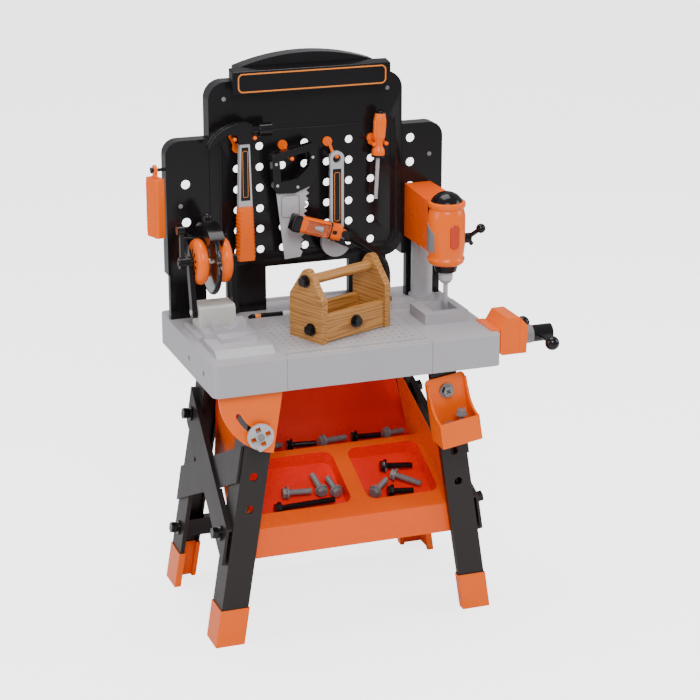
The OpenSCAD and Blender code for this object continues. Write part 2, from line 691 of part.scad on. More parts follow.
// two domed motor housings with a rim, either side of the blade
module saw_drums() at_origin() color(orange) translate([saw_x, saw_axle[0], saw_axle[1]]) difference() {
    for (s = [-1, 1]) rotate([0, s * 90, 0]) translate([0, 0, 11]) rotate_extrude() {
        square([drum_d / 2 - 10, 20.5]);
        translate([drum_d / 2 - 10.3, 10.25]) circle(10.2);
    }
    rotate([0, 90, 0]) translate([0, 0, -60]) cylinder(h = 120, d = axle_d + 2 * run_fit);
}
module saw_blade() at_origin() color("#dfe6ea") translate([saw_x, saw_axle[0], saw_axle[1]]) difference() {
    rotate([0, 90, 0]) rotate_extrude() {
        polygon([[0, -9], [18, -9], [blade_d / 2 - 5, -4.9], [blade_d / 2 - 5, 4.9], [18, 9], [0, 9]]);
        translate([blade_d / 2 - 5, 0]) circle(5);
    }
    rod_x([0, 0], -20, 20, axle_d + 0.1);
}
module saw_crank() at_origin() color(black) translate([saw_x, saw_axle[0], saw_axle[1]]) {
    rod_x([0, 0], -saw_half - 26, saw_half + 14, axle_d);
    rod_x([0, 0], -saw_half - 24, -saw_half - 13, 20);
    rod_x([0, 0], saw_half + 10.5, saw_half + 14, axle_d + 6);
    along_x(-saw_half - 22, -saw_half - 15) translate([-4.5, 0]) square([9, crank_r]);
    rod_x([0, crank_r], -saw_half - 27, -saw_half - 14, 15);
}

// ---- drill press ----
module drill_column() at_origin() color(steel) difference() {
    rod_z(column, top_h - 10, column_top, column_d);
    rod_z(column, top_h - 11, column_top - 4, column_d - 6);
}
// moulded arm round the column: plan, tapered foot and a hollow between column and head
module drill_bracket() at_origin() color(orange) difference() {
    intersection() {
        translate([0, 0, clamp_z[0]]) linear_extrude(clamp_z[1] - clamp_z[0]) polygon([
            [column[0] - 25, column[1] + 23.4], [column[0] + 24, column[1] + 23.4],
            [column[0] + 24, column[1] - 40], [drill[0] + head_d / 2 - 4, drill[1] + 14],
            [drill[0] - head_d / 2 + 0.5, drill[1] + 4]]);
        along_y(drill[1], board_y) polygon([[column[0] - 21, clamp_z[0]], [column[0] + 21, clamp_z[0]],
            [column[0] + 50, clamp_z[0] + 22], [column[0] + 50, clamp_z[1] + 1],
            [column[0] - 50, clamp_z[1] + 1], [column[0] - 50, clamp_z[0] + 22]]);
    }
    rod_z(column, clamp_z[0] - 20, clamp_z[1] - 5, column_d + 2 * run_fit);
    rod_z(drill, head_z[0] - 10, head_z[1] + 20, head_d + 0.1);
    box([drill[0] - 12, column[0] + 12], [drill[1] + head_d / 2 + 5, column[1] - 25],
        [clamp_z[0] - 1, clamp_z[1] - 4]);
}
// outline of the head from its axis: lower lip, waist and shoulder
module head_profile() {
    r = head_d / 2;
    z0 = head_z[0];
    z1 = head_z[1];
    polygon([[0, z0], [r - 6, z0], [r - 2, z0 + 3], [r, z0 + 10], [r - 2.5, z0 + 14],
        [r - 1.5, z0 + 22], [r, z0 + 34], [r, z1 - 26], [r - 2, z1 - 16], [r - 3.5, z1 - 13],
        [r, z1 - 8], [r, z1 - 1.5], [r - 1.5, z1], [0, z1]]);
}
module drill_head() at_origin() color(orange) difference() {
    translate([drill[0], drill[1], 0]) rotate_extrude() head_profile();
    rod_z(drill, head_z[0] - 1, head_z[0] + 30, spindle_d + 2 * run_fit);
    rod_x([drill[1], hub_z], drill[0] + 8, drill[0] + 60, 12 + 2 * run_fit);
    // window in the front for the trigger
    translate([drill[0] + 2, drill[1] - head_d / 2 + 5, window_z]) trigger_shape(0.35, 10);
}
module trigger_shape(grow, depth) {
    rotate([90, 0, 0]) translate([0, 0, -5]) linear_extrude(depth)
        rounded(15 + 2 * grow, 42 + 2 * grow, 7 + grow);
}
module drill_trim() at_origin() color(black) {
    difference() {
        translate([drill[0], drill[1], head_z[0] - 14]) cylinder(h = 13.9, d1 = 37, d2 = 44);
        rod_z(drill, head_z[0] - 16, head_z[0] + 1, spindle_d + 2 * run_fit);
    }
    dome_ball = (dome_r * dome_r + dome_h * dome_h) / (2 * dome_h);
    translate([drill[0], drill[1], head_z[1] + 0.1]) intersection() {
        translate([0, 0, dome_h - dome_ball]) sphere(r = dome_ball);
        cylinder(h = dome_h + 3, r = dome_r + 2);
    }
}
module drill_trigger() at_origin() color("#d8361f")
    translate([drill[0] + 2, drill[1] - head_d / 2 + 2, window_z]) trigger_shape(0, 7.5);
module drill_chuck() at_origin() color(steel) {
    z = head_z[0] - 14;
    translate([drill[0], drill[1], 0]) rotate_extrude() polygon([[0, bit_tip], [3, bit_tip + 5],
        [4.3, bit_tip + 9], [4.3, z - 21], [8, z - 21], [12.5, z - 15], [12.5, z - gap], [0, z - gap]]);
    rod_z(drill, z - 2, head_z[0] + 28, spindle_d);
}
lever_a = 37;
module feed_lever() at_origin() color(black) translate([drill[0], drill[1], hub_z]) {
    rod_x([0, 0], 9, head_d / 2 + 4, 12);
    rod_x([0, 0], head_d / 2 + 0.5, head_d / 2 + 12, 18);
    rotate([lever_a, 0, 0]) translate([head_d / 2 + 6, 0, 0]) rotate([0, 40, 0]) {
        cylinder(h = 31, d = 8);
        translate([0, 0, 31]) sphere(d = 17);
    }
    rotate([lever_a + 150, 0, 0]) translate([head_d / 2 + 6, 0, 0]) rotate([0, 40, 0])
        cylinder(h = 16, d = 7.5);
}

// ---- vise ----
module vise_fixed_jaw() at_origin() color(orange) difference() {
    union() {
        box([half_w + 0.1, half_w + 6], [vise_y - jaw_len / 2, vise_y + jaw_len / 2],
            [vise_z - 24, top_h + 2]);
        box([half_w - 10, half_w + 6], [vise_y - jaw_len / 2, vise_y + jaw_len / 2],
            [top_h + 0.1, top_h + 2]);
        for (y = [vise_y - 22, vise_y + 22]) rod_x([y, vise_z], half_w - 8, half_w + 1, 5.8);
    }
    rod_x([vise_y, vise_z], half_w - 1, half_w + 8, screw_d + 2 * run_fit + 1);
}
module vise_jaw() at_origin() color(orange) difference() {
    along_y(vise_y - jaw_len / 2, vise_y + jaw_len / 2) polygon([[jaw_x, top_h - 1],
        [jaw_x + 13, top_h + 20], [jaw_x + 36, top_h + 20], [jaw_x + jaw_t, top_h + 3],
        [jaw_x + jaw_t - 2, top_h - 46], [jaw_x + 4, top_h - 46], [jaw_x, top_h - 42]]);
    rod_x([vise_y, vise_z], jaw_x - 1, jaw_x + jaw_t + 1, screw_d + 2 * run_fit);
    rod_x([vise_y, vise_z], jaw_x + jaw_t - 10, jaw_x + jaw_t + 1, barrel_d - 8);
    box([jaw_x + 36, jaw_x + 37.2], [vise_y - jaw_len / 2 - 1, vise_y - jaw_len / 2 + 1],
        [top_h - 50, top_h + 30]);
}
module vise_barrel() at_origin() color(grey) difference() {
    union() {
        rod_x([vise_y, vise_z], jaw_x + jaw_t + 0.1, jaw_x + jaw_t + barrel_len - 24, barrel_d);
        rod_x([vise_y, vise_z], jaw_x + jaw_t - 9.9, jaw_x + jaw_t + 1, barrel_d - 8.2);
    }
    rod_x([vise_y, vise_z], jaw_x, jaw_x + jaw_t + barrel_len, screw_d + 2 * run_fit);
}
module vise_handle() at_origin() color(black) {
    rod_x([vise_y, vise_z], half_w - jaw_travel - 15, tbar_x, screw_d);
    rod_x([vise_y, vise_z], jaw_x + jaw_t + barrel_len - 24 + gap, jaw_x + jaw_t + barrel_len + 13,
        barrel_d - 2);
    rod_y([tbar_x, vise_z], vise_y - tbar_half, vise_y + tbar_half, 8);
    for (s = [-1, 1]) translate([tbar_x, vise_y + s * tbar_half, vise_z]) sphere(d = ball_d);
}

// ---- bevel gauge ----
function polar(r, a) = [r * cos(a), r * sin(a)];
module sector(r, a0, a1) {
    intersection() {
        circle(r, $fn = 96);
        polygon([[0, 0], polar(2 * r, a0), polar(2 * r, (a0 + a1) / 2), polar(2 * r, a1)]);
    }
}
module bevel_plate() at_origin() color(orange) {
    difference() {
        along_y(bevel_y[0], bevel_y[1]) translate(bevel) difference() {
            sector(bevel_r, 180, 261);
            arc_slot(slot_w);
        }
        along_y(bevel_y[0] - 1, bevel_y[0] + 1) translate(bevel) arc_slot(slot_w + 14);
    }
    for (p = [[-31, -20], [-22, -56]]) rod_y(bevel + p, bevel_y[1] - 1, front_y - 0.1, 16);
}
module arc_slot(w) {
    a = [wheel_a - bevel_travel, wheel_a];
    intersection() {
        difference() {
            circle(slot_r + w / 2, $fn = 96);
            circle(slot_r - w / 2, $fn = 96);
        }
        polygon([[0, 0], polar(200, a[0]), polar(200, a[1])]);
    }
    for (i = [0, 1]) translate(polar(slot_r, a[i])) circle(d = w);
}
wheel_at = bevel + polar(slot_r, wheel_a);
module bevel_spindle() at_origin() color(steel) {
    rod_y(wheel_at, 4, bevel_y[1] + 1, slot_w - 2 * gap);
    rod_y(wheel_at, bevel_y[1] + gap, front_y - 2, 15);
    rod_y(wheel_at, 1, 4.1, 12);
}
module handwheel() at_origin() color("#c9cacd") {
    difference() {
        union() {
            rod_y(wheel_at, 5, 10, wheel_d);
            rod_y(wheel_at, 4.3, bevel_y[0] - 0.4, 18);
        }
        rod_y(wheel_at, 0, 20, slot_w - 2 * gap + 2 * run_fit);
        for (a = [20, 110, 200, 290]) rotate_about(wheel_at, a) box([9, 18], [4, 11], [-4.5, 4.5]);
    }
    rotate_about(wheel_at, 245) rod_y([15, 0], -14, 6, 10);
}
module rotate_about(p, a) { translate([p[0], 0, p[1]]) rotate([0, -a, 0]) children(); }

// ---- parts bin ----
module on_bin() {
    translate([leg_x(bin_z) - leg_w / 2, front_y - gap, bin_z]) rotate([0, -splay_a, 0]) children();
}
module parts_bin() at_origin() color(orange) on_bin() difference() {
    union() {
        along_y(-tray_wall, 0) translate([0, bin_h / 2]) rounded(bin_w, bin_h, 8);
        difference() {
            box([-bin_w / 2, bin_w / 2], [-bin_d, 0], [0, bin_box_h]);
            box([-bin_w / 2 + 3, bin_w / 2 - 3], [-bin_d + 3, -tray_wall], [3, bin_box_h + 1]);
        }
        for (s = [-1, 1]) along_x(s > 0 ? bin_w / 2 - 4 : -bin_w / 2, s > 0 ? bin_w / 2 : -bin_w / 2 + 4)
            difference() {
                polygon([[-bin_d, bin_box_h - 1], [0, bin_box_h - 1], [0, bin_h - 8], [-11, bin_h - 8],
                    [-13, bin_box_h + 40], [-bin_d, bin_box_h + 8]]);
                translate([-bin_d - 3, bin_box_h + 38]) circle(38);
            }
    }
    rod_y([0, bin_screw_z], -20, 10, bolt_d + 2 * run_fit);
}

// ---- loose fasteners ----
toy_head_d = 24;
toy_shank_d = 9.5;
// big toy bolt lying along +x with its head at the origin, resting on z = 0
module lying_bolt(len) {
    translate([0, 0, toy_head_d / 2 + gap]) {
        rotate([0, 90, 0]) cylinder(h = 3, d = toy_head_d);
        translate([-7, 0, 0]) rotate([0, 90, 0]) cylinder(h = 7.5, d = toy_head_d * 0.78, $fn = 6);
        rotate([0, 90, 0]) cylinder(h = len, d = toy_shank_d);
    }
}
// places on the pocket floors and in the trough: x, distance up the slope, turn, length
left_lot = [[-92, 92, -4, 46], [-116, 57, 2, 104], [-28, 86, 96, 42], [-2, 80, 99, 36]];
right_lot = [[66, 66, 40, 40], [116, 101, -38, 50], [104, 126, -8, 52], [96, 62, -8, 40]];
trough_lot = [[-112, 8, 48], [-50, -7, 48], [12, 6, 46], [74, -7, 48], [136, 4, 34]];
module loose_bolts() at_origin() color(steel) {
    on_face() for (p = concat(left_lot, right_lot)) translate([p[0], p[1], -pocket_depth])
        rotate([0, 0, p[2]]) lying_bolt(p[3]);
    for (p = trough_lot) translate([p[0], (trough[0] + trough[1]) / 2 + 1, trough[2]])
        rotate([0, 0, p[1]]) lying_bolt(p[2]);
    on_bin() {
        translate([-9, -26, 3 + gap]) cylinder(h = 26, d = 8);
        translate([-9, -26, 27 + gap]) cylinder(h = 6, d = 22);
        translate([4.5, -26, 4.2]) rotate([0, 12, 0]) {
            cylinder(h = 42, d = 8);
            translate([0, 0, 40]) cylinder(h = 3, d = 21);
            translate([0, 0, 42]) cylinder(h = 9, d = 16, $fn = 6);
        }
    }
}
module marker_pen() at_origin() color(black) {
    rod_x([pen_at[1], pen_at[2]], pen_at[0] + 6, pen_at[0] + 96, pen_d);
    translate(pen_at) rotate([0, 90, 0]) cylinder(h = 6.1, d1 = 4, d2 = pen_d);
}

// ---- hammer ----
head_at = [hammer_x, tool_y, hook_z + 36];
module hammer_head() at_origin() color(black) translate(head_at) difference() {
    union() {
        along_y(-9, 9) polygon([[-11, -22], [11, -22], [13, -6], [13, 12], [2, 17], [-16, 15], [-40, 6],
            [-56, -8], [-67, -25], [-63, -28], [-46, -12], [-30, -4], [-14, -6]]);
        rotate([0, 90, 0]) translate([0, 0, 12]) cylinder(h = 14, d1 = 18, d2 = 15);
        rotate([0, 90, 0]) translate([0, 0, 26]) cylinder(h = 24, d = 23);
    }
    // claw split and the eye for the shaft
    along_y(-2, 2) polygon([[-80, -40], [-34, -2], [-34, 10], [-80, 10]]);
    box([-6.1, 6.1], [-5.1, 5.1], [-23, 10]);
}
module hammer_shaft() at_origin() color("#c9ccd2") translate([hammer_x, tool_y, 0]) {
    box([-6, 6], [-5, 5], [head_at[2] - 30, head_at[2] + 9]);
    along_y(-6, 6) polygon([[-9, head_at[2] - 22.2], [9, head_at[2] - 22.2], [12.5, grip_top + 0.2],
        [-12.5, grip_top + 0.2]]);
    box([-7, 7], [-5, 5], [grip_top - 60, grip_top + 1]);
}
grip_top = hook_z - 97;
grip_len = 96;
ribs = 13;
module hammer_grip() at_origin() color(orange) translate([hammer_x, tool_y, grip_top - grip_len])
    difference() {
    union() {
        scale_cone(grip_len, 17, 14);
        for (i = [1:ribs]) translate([0, 0, i * grip_len / (ribs + 1) - 1.5])
            cylinder(h = 3, r = 18 - 3 * i / ribs);
    }
    box([-40, 40], [11, 40], [-10, grip_len + 10]);
    box([-40, 40], [-40, -11], [-10, grip_len + 10]);
    box([-7.1, 7.1], [-5.1, 5.1], [grip_len - 61, grip_len + 1]);
}
module scale_cone(h, r0, r1) { cylinder(h = h, r1 = r0, r2 = r1); }

// ---- hand saw ----
hs = [saw_hook_x + 6, tool_y, hook_z - 12];
module hand_saw_handle() at_origin() color(black) translate(hs) difference() {
    along_y(-8, 8) difference() {
        polygon([[-36, -4], [-30, 4], [38, 19], [45, 15], [45, -40], [36, -56], [4, -68], [-28, -66],
            [-34, -56]]);
        polygon([[-22, -10], [-16, -5.5], [30, 4.5], [33, 0], [31, -22], [10, -42], [-20, -47]]);
    }
    along_y(-1.6, 1.6) polygon([[-29, -80], [-28.5, -59.6], [4, -61.6], [30, -50], [36, -80]]);
}
teeth = 11;
tooth_top = [34, -61];
tooth_end = [20, -176];
module hand_saw_blade() at_origin() color("#c3c6ca") translate(hs) along_y(-1.4, 1.4)
    polygon(concat([[tooth_end[0] - 4, tooth_end[1] - 9], [-13, tooth_end[1] - 11], [-28, -60],
        [4, -62], [28, -52]], [for (i = [0:2 * teeth]) let (f = i / (2 * teeth))
        tooth_top + f * (tooth_end - tooth_top) + (i % 2 == 0 ? [0, 0] : [-6, 1])]));

// ---- adjustable wrench ----
wr = [wrench_x, tool_y + 2, hook_z - 26];
jaw_a = -62;
module on_wrench_head() { translate([wr[0] - 2, wr[1], wr[2] - 150]) rotate([0, jaw_a, 0]) children(); }
module wrench_body() at_origin() color("#d4d5d8") {
    difference() {
        union() {
            translate(wr) along_y(-4, 4) {
                circle(13.5);
                translate([-12.5, -128]) square([25, 122]);
            }
            on_wrench_head() along_y(-5, 5) difference() {
                union() {
                    circle(27);
                    translate([-4, 4]) square([20, 26]);
                }
                polygon([[-1, -40], [-1, 8], [40, 8], [60, -40]]);
            }
        }
        translate(wr) along_y(-5, 5) circle(7.6);
        translate(wr) along_y(-5, -3) translate([-8, -118]) square([16, 100]);
        on_wrench_head() along_y(-6, 6) polygon([[-1, -40], [-1, 8], [29, 8], [29, -40]]);
        // recess for the worm and slot for the moving jaw
        on_wrench_head() box([-3, 20], [-6, 6], [8, 20.2]);
        on_wrench_head() box([-3, 31], [-2.3, 2.3], [5, 10]);
        on_wrench_head() rod_x([0, worm_z], -6, 30, 3 + 2 * run_fit);
    }
}
wrench_open = 9;
worm_z = 14.2;
module wrench_jaw() at_origin() color("#c4c6ca") on_wrench_head() {
    along_y(-4.8, 4.8) polygon([[wrench_open, -24], [wrench_open, 7.6], [27, 7.6], [27, -2], [18, -20]]);
    box([wrench_open + 1, 26], [-2, 2], [7, 9.8]);
}
module wrench_worm() at_origin() color(steel) on_wrench_head() {
    rod_x([0, worm_z], -5, 21, 3);
    translate([-0.5, 0, worm_z]) rotate([0, 90, 0]) difference() {
        cylinder(h = 18, d = 8);
        for (i = [0:5]) translate([0, 0, 1.5 + i * 2.8]) rotate_extrude() translate([3.4, 0])
            square([2, 1.2]);
    }
}

// ---- screwdriver ----
sd = [driver_x, tool_y + 6, hook_z - 6];
module screwdriver_handle() at_origin() color(orange) translate(sd) rotate([0, 3, 0]) difference() {
    rotate_extrude() polygon([[0, 58], [6, 58], [9, 54], [11.5, 40], [11, 12], [8, 4], [7.5, -4],
        [11.5, -12], [12, -20], [8, -24], [0, -24]]);
    translate([0, 0, -25]) cylinder(h = 40, d = 7);
    for (a = [30:60:330]) rotate([0, 0, a]) translate([13.2, 0, 14]) cylinder(h = 50, d = 6);
}
module screwdriver_blade() at_origin() color(steel) translate(sd) rotate([0, 3, 0]) difference() {
    translate([0, 0, -100]) cylinder(h = 114, d = 6.9);
    for (s = [-1, 1]) translate([0, s * 4.1, -104]) rotate([-s * 8, 0, 0]) cube([20, 6, 40], center = true);
}

// ---- flashlight with a gooseneck ----
neck_end = [light_start[0] + 64 * cos(neck_tilt), light_start[1] - 64 * sin(neck_tilt)];
bend_at = neck_end - neck_bend * [sin(neck_tilt), cos(neck_tilt)];
neck_drop_x = bend_at[0] + neck_bend;
module in_light_plane() { translate([light_base[0] - neck_drop_x, 0, 0]) children(); }
module flashlight_neck() at_origin() color(black) in_light_plane() {
    translate([light_start[0], light_y, light_start[1]]) rotate([0, 90 + neck_tilt, 0]) {
        translate([0, 0, 12]) cylinder(h = 52.6, d = neck_d);
        translate([0, 0, 9.5]) cylinder(h = 4, d = 21);
        // fork and pin that the torch head tilts on
        for (s = [-1, 1]) translate([0, s * 8.8, 0]) rotate([90, 0, 0]) translate([0, 0, -1.2])
            linear_extrude(2.4) {
            circle(7);
            translate([-7, 0]) square([14, 11]);
        }
        rotate([90, 0, 0]) translate([0, 0, -9]) cylinder(h = 18, d = 6);
    }
    translate([bend_at[0], light_y, bend_at[1]]) rotate([90, 0, 0])
        rotate_extrude(angle = 90 - neck_tilt) translate([neck_bend, 0]) circle(d = neck_d - 1);
    rod_z([neck_drop_x, light_y], top_h - 1 + gap, bend_at[1] + 0.6, neck_d);
    rod_z([neck_drop_x, light_y], top_h + 14.1, top_h + 20, neck_d + 6);
}
module on_light() {
    in_light_plane() translate([light_start[0], light_y, light_start[1]]) rotate([0, light_tilt, 0])
        children();
}
light_len = 90;
light_h = 29;
module flashlight_body() at_origin() color(orange) on_light() difference() {
    union() {
        translate([-9 - light_len, 0, 0]) rotate([0, 90, 0]) linear_extrude(light_len)
            rounded(light_h, 24, 7);
        rod_y([0, 0], -7, 7, 14);
        box([-12, 0], [-7, 7], [-6, 6]);
    }
    box([-74, -32], [-14, -4], [-11, 11]);
    box([-26, -18], [-14, -8], [-3.2, 3.2]);
    rod_y([0, 0], -8, 8, 6 + 2 * run_fit);
}
module flashlight_lens() at_origin() color("#e8eef2") on_light()
    box([-73.8, -32.2], [-12.6, -4.1], [-10.8, 10.8]);
module flashlight_switch() at_origin() color(black) on_light()
    box([-25.7, -18.3], [-13.6, -9.9], [-2.9, 2.9]);

// ---- tool box ----
module on_box() { translate([box_corner[0], box_corner[1], top_h]) rotate([0, 0, box_turn]) children(); }
module end_outline() {
    polygon([[0, gap], [box_w, gap], [box_w, box_shoulder], [box_w / 2 + 9, box_apex - 4],
        [box_w / 2 + 4, box_apex], [box_w / 2 - 4, box_apex], [box_w / 2 - 9, box_apex - 4],
        [0, box_shoulder]]);
}
end_bolts = [[box_w / 2, bar_z], [box_w / 2 - 14, 22]];
module toolbox_ends() at_origin() color(wood) on_box() difference() {
    for (x = [0, box_len - box_end_t]) along_x(x, x + box_end_t) end_outline();
    for (x = [[-1, box_end_t + 1], [box_len - box_end_t - 1, box_len + 1]]) for (p = end_bolts)
        rod_x(p, x[0], x[1], bolt_d + 2 * run_fit);
}
module toolbox_boards() at_origin() color(wood) on_box() {
    x = [box_end_t + 0.1, box_len - box_end_t - 0.1];
    difference() {
        union() {
            box(x, [3, 14], [2, board_h]);
            box(x, [box_w - 14, box_w - 3], [2, board_h]);
            box(x, [13, box_w - 13], [2, 12]);
            box([x[0], x[0] + 16], [end_bolts[1][0] - 8, end_bolts[1][0] + 8], [11, 30]);
            box([x[1] - 16, x[1]], [end_bolts[1][0] - 8, end_bolts[1][0] + 8], [11, 30]);
        }
        for (e = [[0, 40], [box_len - 40, box_len]]) rod_x(end_bolts[1], e[0], e[1], bolt_d + 2 * run_fit);
        rod_y([box_len / 2, 26], 0, 20, bolt_d + 2 * run_fit);
    }
}
module toolbox_bar() at_origin() color(wood) on_box() difference() {
    rod_x(end_bolts[0], box_end_t + 0.1, box_len - box_end_t - 0.1, bar_d);
    for (e = [[0, 40], [box_len - 40, box_len]]) rod_x(end_bolts[0], e[0], e[1], bolt_d + 2 * run_fit);
}
// a bolt from the left end at [y, z]; len is its reach into the board
module end_bolt(p, len) {
    rod_x(p, -3, -0.1, 22);
    translate([-10, p[0], p[1]]) rotate([0, 90, 0]) cylinder(h = 7.2, d = 17, $fn = 6);
    rod_x(p, -1, len, bolt_d);
}
module toolbox_bolts() at_origin() color(black) on_box() {
    for (p = end_bolts) {
        end_bolt(p, box_end_t + 14);
        translate([box_len, 0, 0]) mirror([1, 0, 0]) end_bolt(p, box_end_t + 14);
    }
    translate([box_len / 2, 3, 26]) rotate([0, 0, 90]) end_bolt([0, 0], 14);
}

leg_front_left();
leg_front_right();
leg_back_left();
leg_back_right();
feet();
side_braces_falling();
side_braces_rising();
rear_stretcher();
frame_bolts();
storage_tray();
top_left();
top_center();
top_right();
ruler_strip();
pegboard_panel();
wing_left();
wing_right();
header_sign();
tool_hooks();
hanging_case();
saw_base();
saw_arms();
saw_drums();
saw_blade();
saw_crank();
drill_column();
drill_bracket();
drill_head();
drill_trim();
drill_trigger();
drill_chuck();
feed_lever();
vise_fixed_jaw();
vise_jaw();
vise_barrel();
vise_handle();
bevel_plate();
bevel_spindle();
handwheel();
parts_bin();
loose_bolts();
marker_pen();
hammer_head();
hammer_shaft();
hammer_grip();
hand_saw_handle();
hand_saw_blade();
wrench_body();
wrench_jaw();
wrench_worm();
screwdriver_handle();
screwdriver_blade();
flashlight_body();
flashlight_lens();
flashlight_switch();
flashlight_neck();
toolbox_ends();
toolbox_boards();
toolbox_bar();
toolbox_bolts();
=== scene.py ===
import bpy
import bmesh
import json
from math import sin, cos, pi, radians, atan2
from mathutils import Matrix, Vector


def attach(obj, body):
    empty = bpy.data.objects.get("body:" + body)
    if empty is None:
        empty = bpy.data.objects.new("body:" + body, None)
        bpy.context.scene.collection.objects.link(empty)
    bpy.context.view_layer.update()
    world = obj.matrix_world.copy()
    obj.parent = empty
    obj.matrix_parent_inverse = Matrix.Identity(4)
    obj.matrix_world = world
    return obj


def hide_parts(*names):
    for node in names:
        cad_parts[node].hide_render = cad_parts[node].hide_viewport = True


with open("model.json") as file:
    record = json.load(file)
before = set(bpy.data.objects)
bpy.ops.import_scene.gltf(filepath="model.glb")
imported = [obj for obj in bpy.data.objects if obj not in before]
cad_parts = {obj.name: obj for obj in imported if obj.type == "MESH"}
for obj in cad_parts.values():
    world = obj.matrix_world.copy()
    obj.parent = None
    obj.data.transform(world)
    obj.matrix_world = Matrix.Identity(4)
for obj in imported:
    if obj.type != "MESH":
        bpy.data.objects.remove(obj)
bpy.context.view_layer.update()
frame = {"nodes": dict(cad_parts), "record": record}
nodes = frame["nodes"]
bodyOf = {n: b for b, members in frame["record"]["behaviour"]["bodies"].items() for n in members}
print("frame loaded:", len(nodes), "nodes")

# the bench is laid out in millimetres from the middle of the work surface's front edge
bench = {"middleX": 45.35, "frontY": 162.45, "topZ": 520}


def at(x, y, z):
    return Vector(((x - bench["middleX"]) / 1000, (y - bench["frontY"]) / 1000, z / 1000))


# ---- node groups shared by the materials ----
def newGroup(name, ins, outs):
    group = bpy.data.node_groups.new(name, "ShaderNodeTree")
    for label, kind, value in ins:
        sock = group.interface.new_socket(name=label, in_out="INPUT", socket_type=kind)
        if value is not None:
            sock.default_value = value
    for label, kind in outs:
        group.interface.new_socket(name=label, in_out="OUTPUT", socket_type=kind)
    return group, group.nodes.new("NodeGroupInput"), group.nodes.new("NodeGroupOutput")


def mathNode(tree, op, a, b=None, clamp=False):
    node = tree.nodes.new("ShaderNodeMath")
    node.operation = op
    node.use_clamp = clamp
    for i, v in enumerate((a, b)):
        if v is None:
            continue
        if isinstance(v, (int, float)):
            node.inputs[i].default_value = v
        else:
            tree.links.new(v, node.inputs[i])
    return node.outputs[0]


def rampNode(tree, fac, stops):
    node = tree.nodes.new("ShaderNodeValToRGB")
    while len(node.color_ramp.elements) < len(stops):
        node.color_ramp.elements.new(0.5)
    for el, (pos, col) in zip(node.color_ramp.elements, stops):
        el.position = pos
        el.color = col if len(col) == 4 else (*col, 1)
    tree.links.new(fac, node.inputs[0])
    return node.outputs[0]


def grey(v):
    return (v, v, v, 1)


def noiseNode(tree, vector, scale, detail=3.0, rough=0.5):
    node = tree.nodes.new("ShaderNodeTexNoise")
    tree.links.new(vector, node.inputs["Vector"])
    if isinstance(scale, (int, float)):
        node.inputs["Scale"].default_value = scale
    else:
        tree.links.new(scale, node.inputs["Scale"])
    node.inputs["Detail"].default_value = detail
    node.inputs["Roughness"].default_value = rough
    return node.outputs["Fac"]


# fine pebble of a moulding tool plus slow flow marks
moldGrain, gi, go = newGroup("moldGrain", [("Vector", "NodeSocketVector", None),
    ("Grain", "NodeSocketFloat", 900.0),
    ("Flow", "NodeSocketFloat", 14.0)], [("Height", "NodeSocketFloat"), ("Cloud", "NodeSocketFloat")])
fine = noiseNode(moldGrain, gi.outputs["Vector"], gi.outputs["Grain"], 2.0)
slow = noiseNode(moldGrain, gi.outputs["Vector"], gi.outputs["Flow"], 4.0, 0.55)
moldGrain.links.new(mathNode(moldGrain, "ADD", mathNode(moldGrain, "MULTIPLY", fine, 0.5),
    mathNode(moldGrain, "MULTIPLY", slow, 0.7)), go.inputs["Height"])
moldGrain.links.new(slow, go.inputs["Cloud"])

# scuffs and a painted highlight where a rounded edge sticks out: such edges are mixed towards a lighter
# colour
edgeWearAndHighlight, gi, go = newGroup("edgeWearAndHighlight", [("Vector", "NodeSocketVector", None),
    ("Amount", "NodeSocketFloat", 0.5),
    ("Radius", "NodeSocketFloat", 0.0012)], [("Mask", "NodeSocketFloat")])
bev = edgeWearAndHighlight.nodes.new("ShaderNodeBevel")
bev.samples = 4
edgeWearAndHighlight.links.new(gi.outputs["Radius"], bev.inputs["Radius"])
geo = edgeWearAndHighlight.nodes.new("ShaderNodeNewGeometry")
dotNode = edgeWearAndHighlight.nodes.new("ShaderNodeVectorMath")
dotNode.operation = "DOT_PRODUCT"
edgeWearAndHighlight.links.new(bev.outputs["Normal"], dotNode.inputs[0])
edgeWearAndHighlight.links.new(geo.outputs["Normal"], dotNode.inputs[1])
bent = mathNode(edgeWearAndHighlight, "MULTIPLY", mathNode(edgeWearAndHighlight, "SUBTRACT", 1.0, dotNode.outputs["Value"]), 6.0,
    True)
patchy = rampNode(edgeWearAndHighlight, noiseNode(edgeWearAndHighlight, gi.outputs["Vector"], 90.0, 4.0),
    [(0.42, grey(0)), (0.62, grey(1))])
edgeWearAndHighlight.links.new(mathNode(edgeWearAndHighlight, "MULTIPLY", mathNode(edgeWearAndHighlight, "MULTIPLY", bent, patchy),
    gi.outputs["Amount"], True), go.inputs["Mask"])

# settled dust on faces that look up
dustFilm, gi, go = newGroup("dustFilm", [("Vector", "NodeSocketVector", None),
    ("Amount", "NodeSocketFloat", 0.2)], [("Mask", "NodeSocketFloat")])
geo = dustFilm.nodes.new("ShaderNodeNewGeometry")
sep = dustFilm.nodes.new("ShaderNodeSeparateXYZ")
dustFilm.links.new(geo.outputs["Normal"], sep.inputs[0])
cloud = noiseNode(dustFilm, gi.outputs["Vector"], 22.0, 5.0, 0.6)
upward = mathNode(dustFilm, "MULTIPLY", mathNode(dustFilm, "MAXIMUM", sep.outputs["Z"], 0.0), cloud)
dustFilm.links.new(mathNode(dustFilm, "MULTIPLY", upward, gi.outputs["Amount"], True), go.inputs["Mask"])

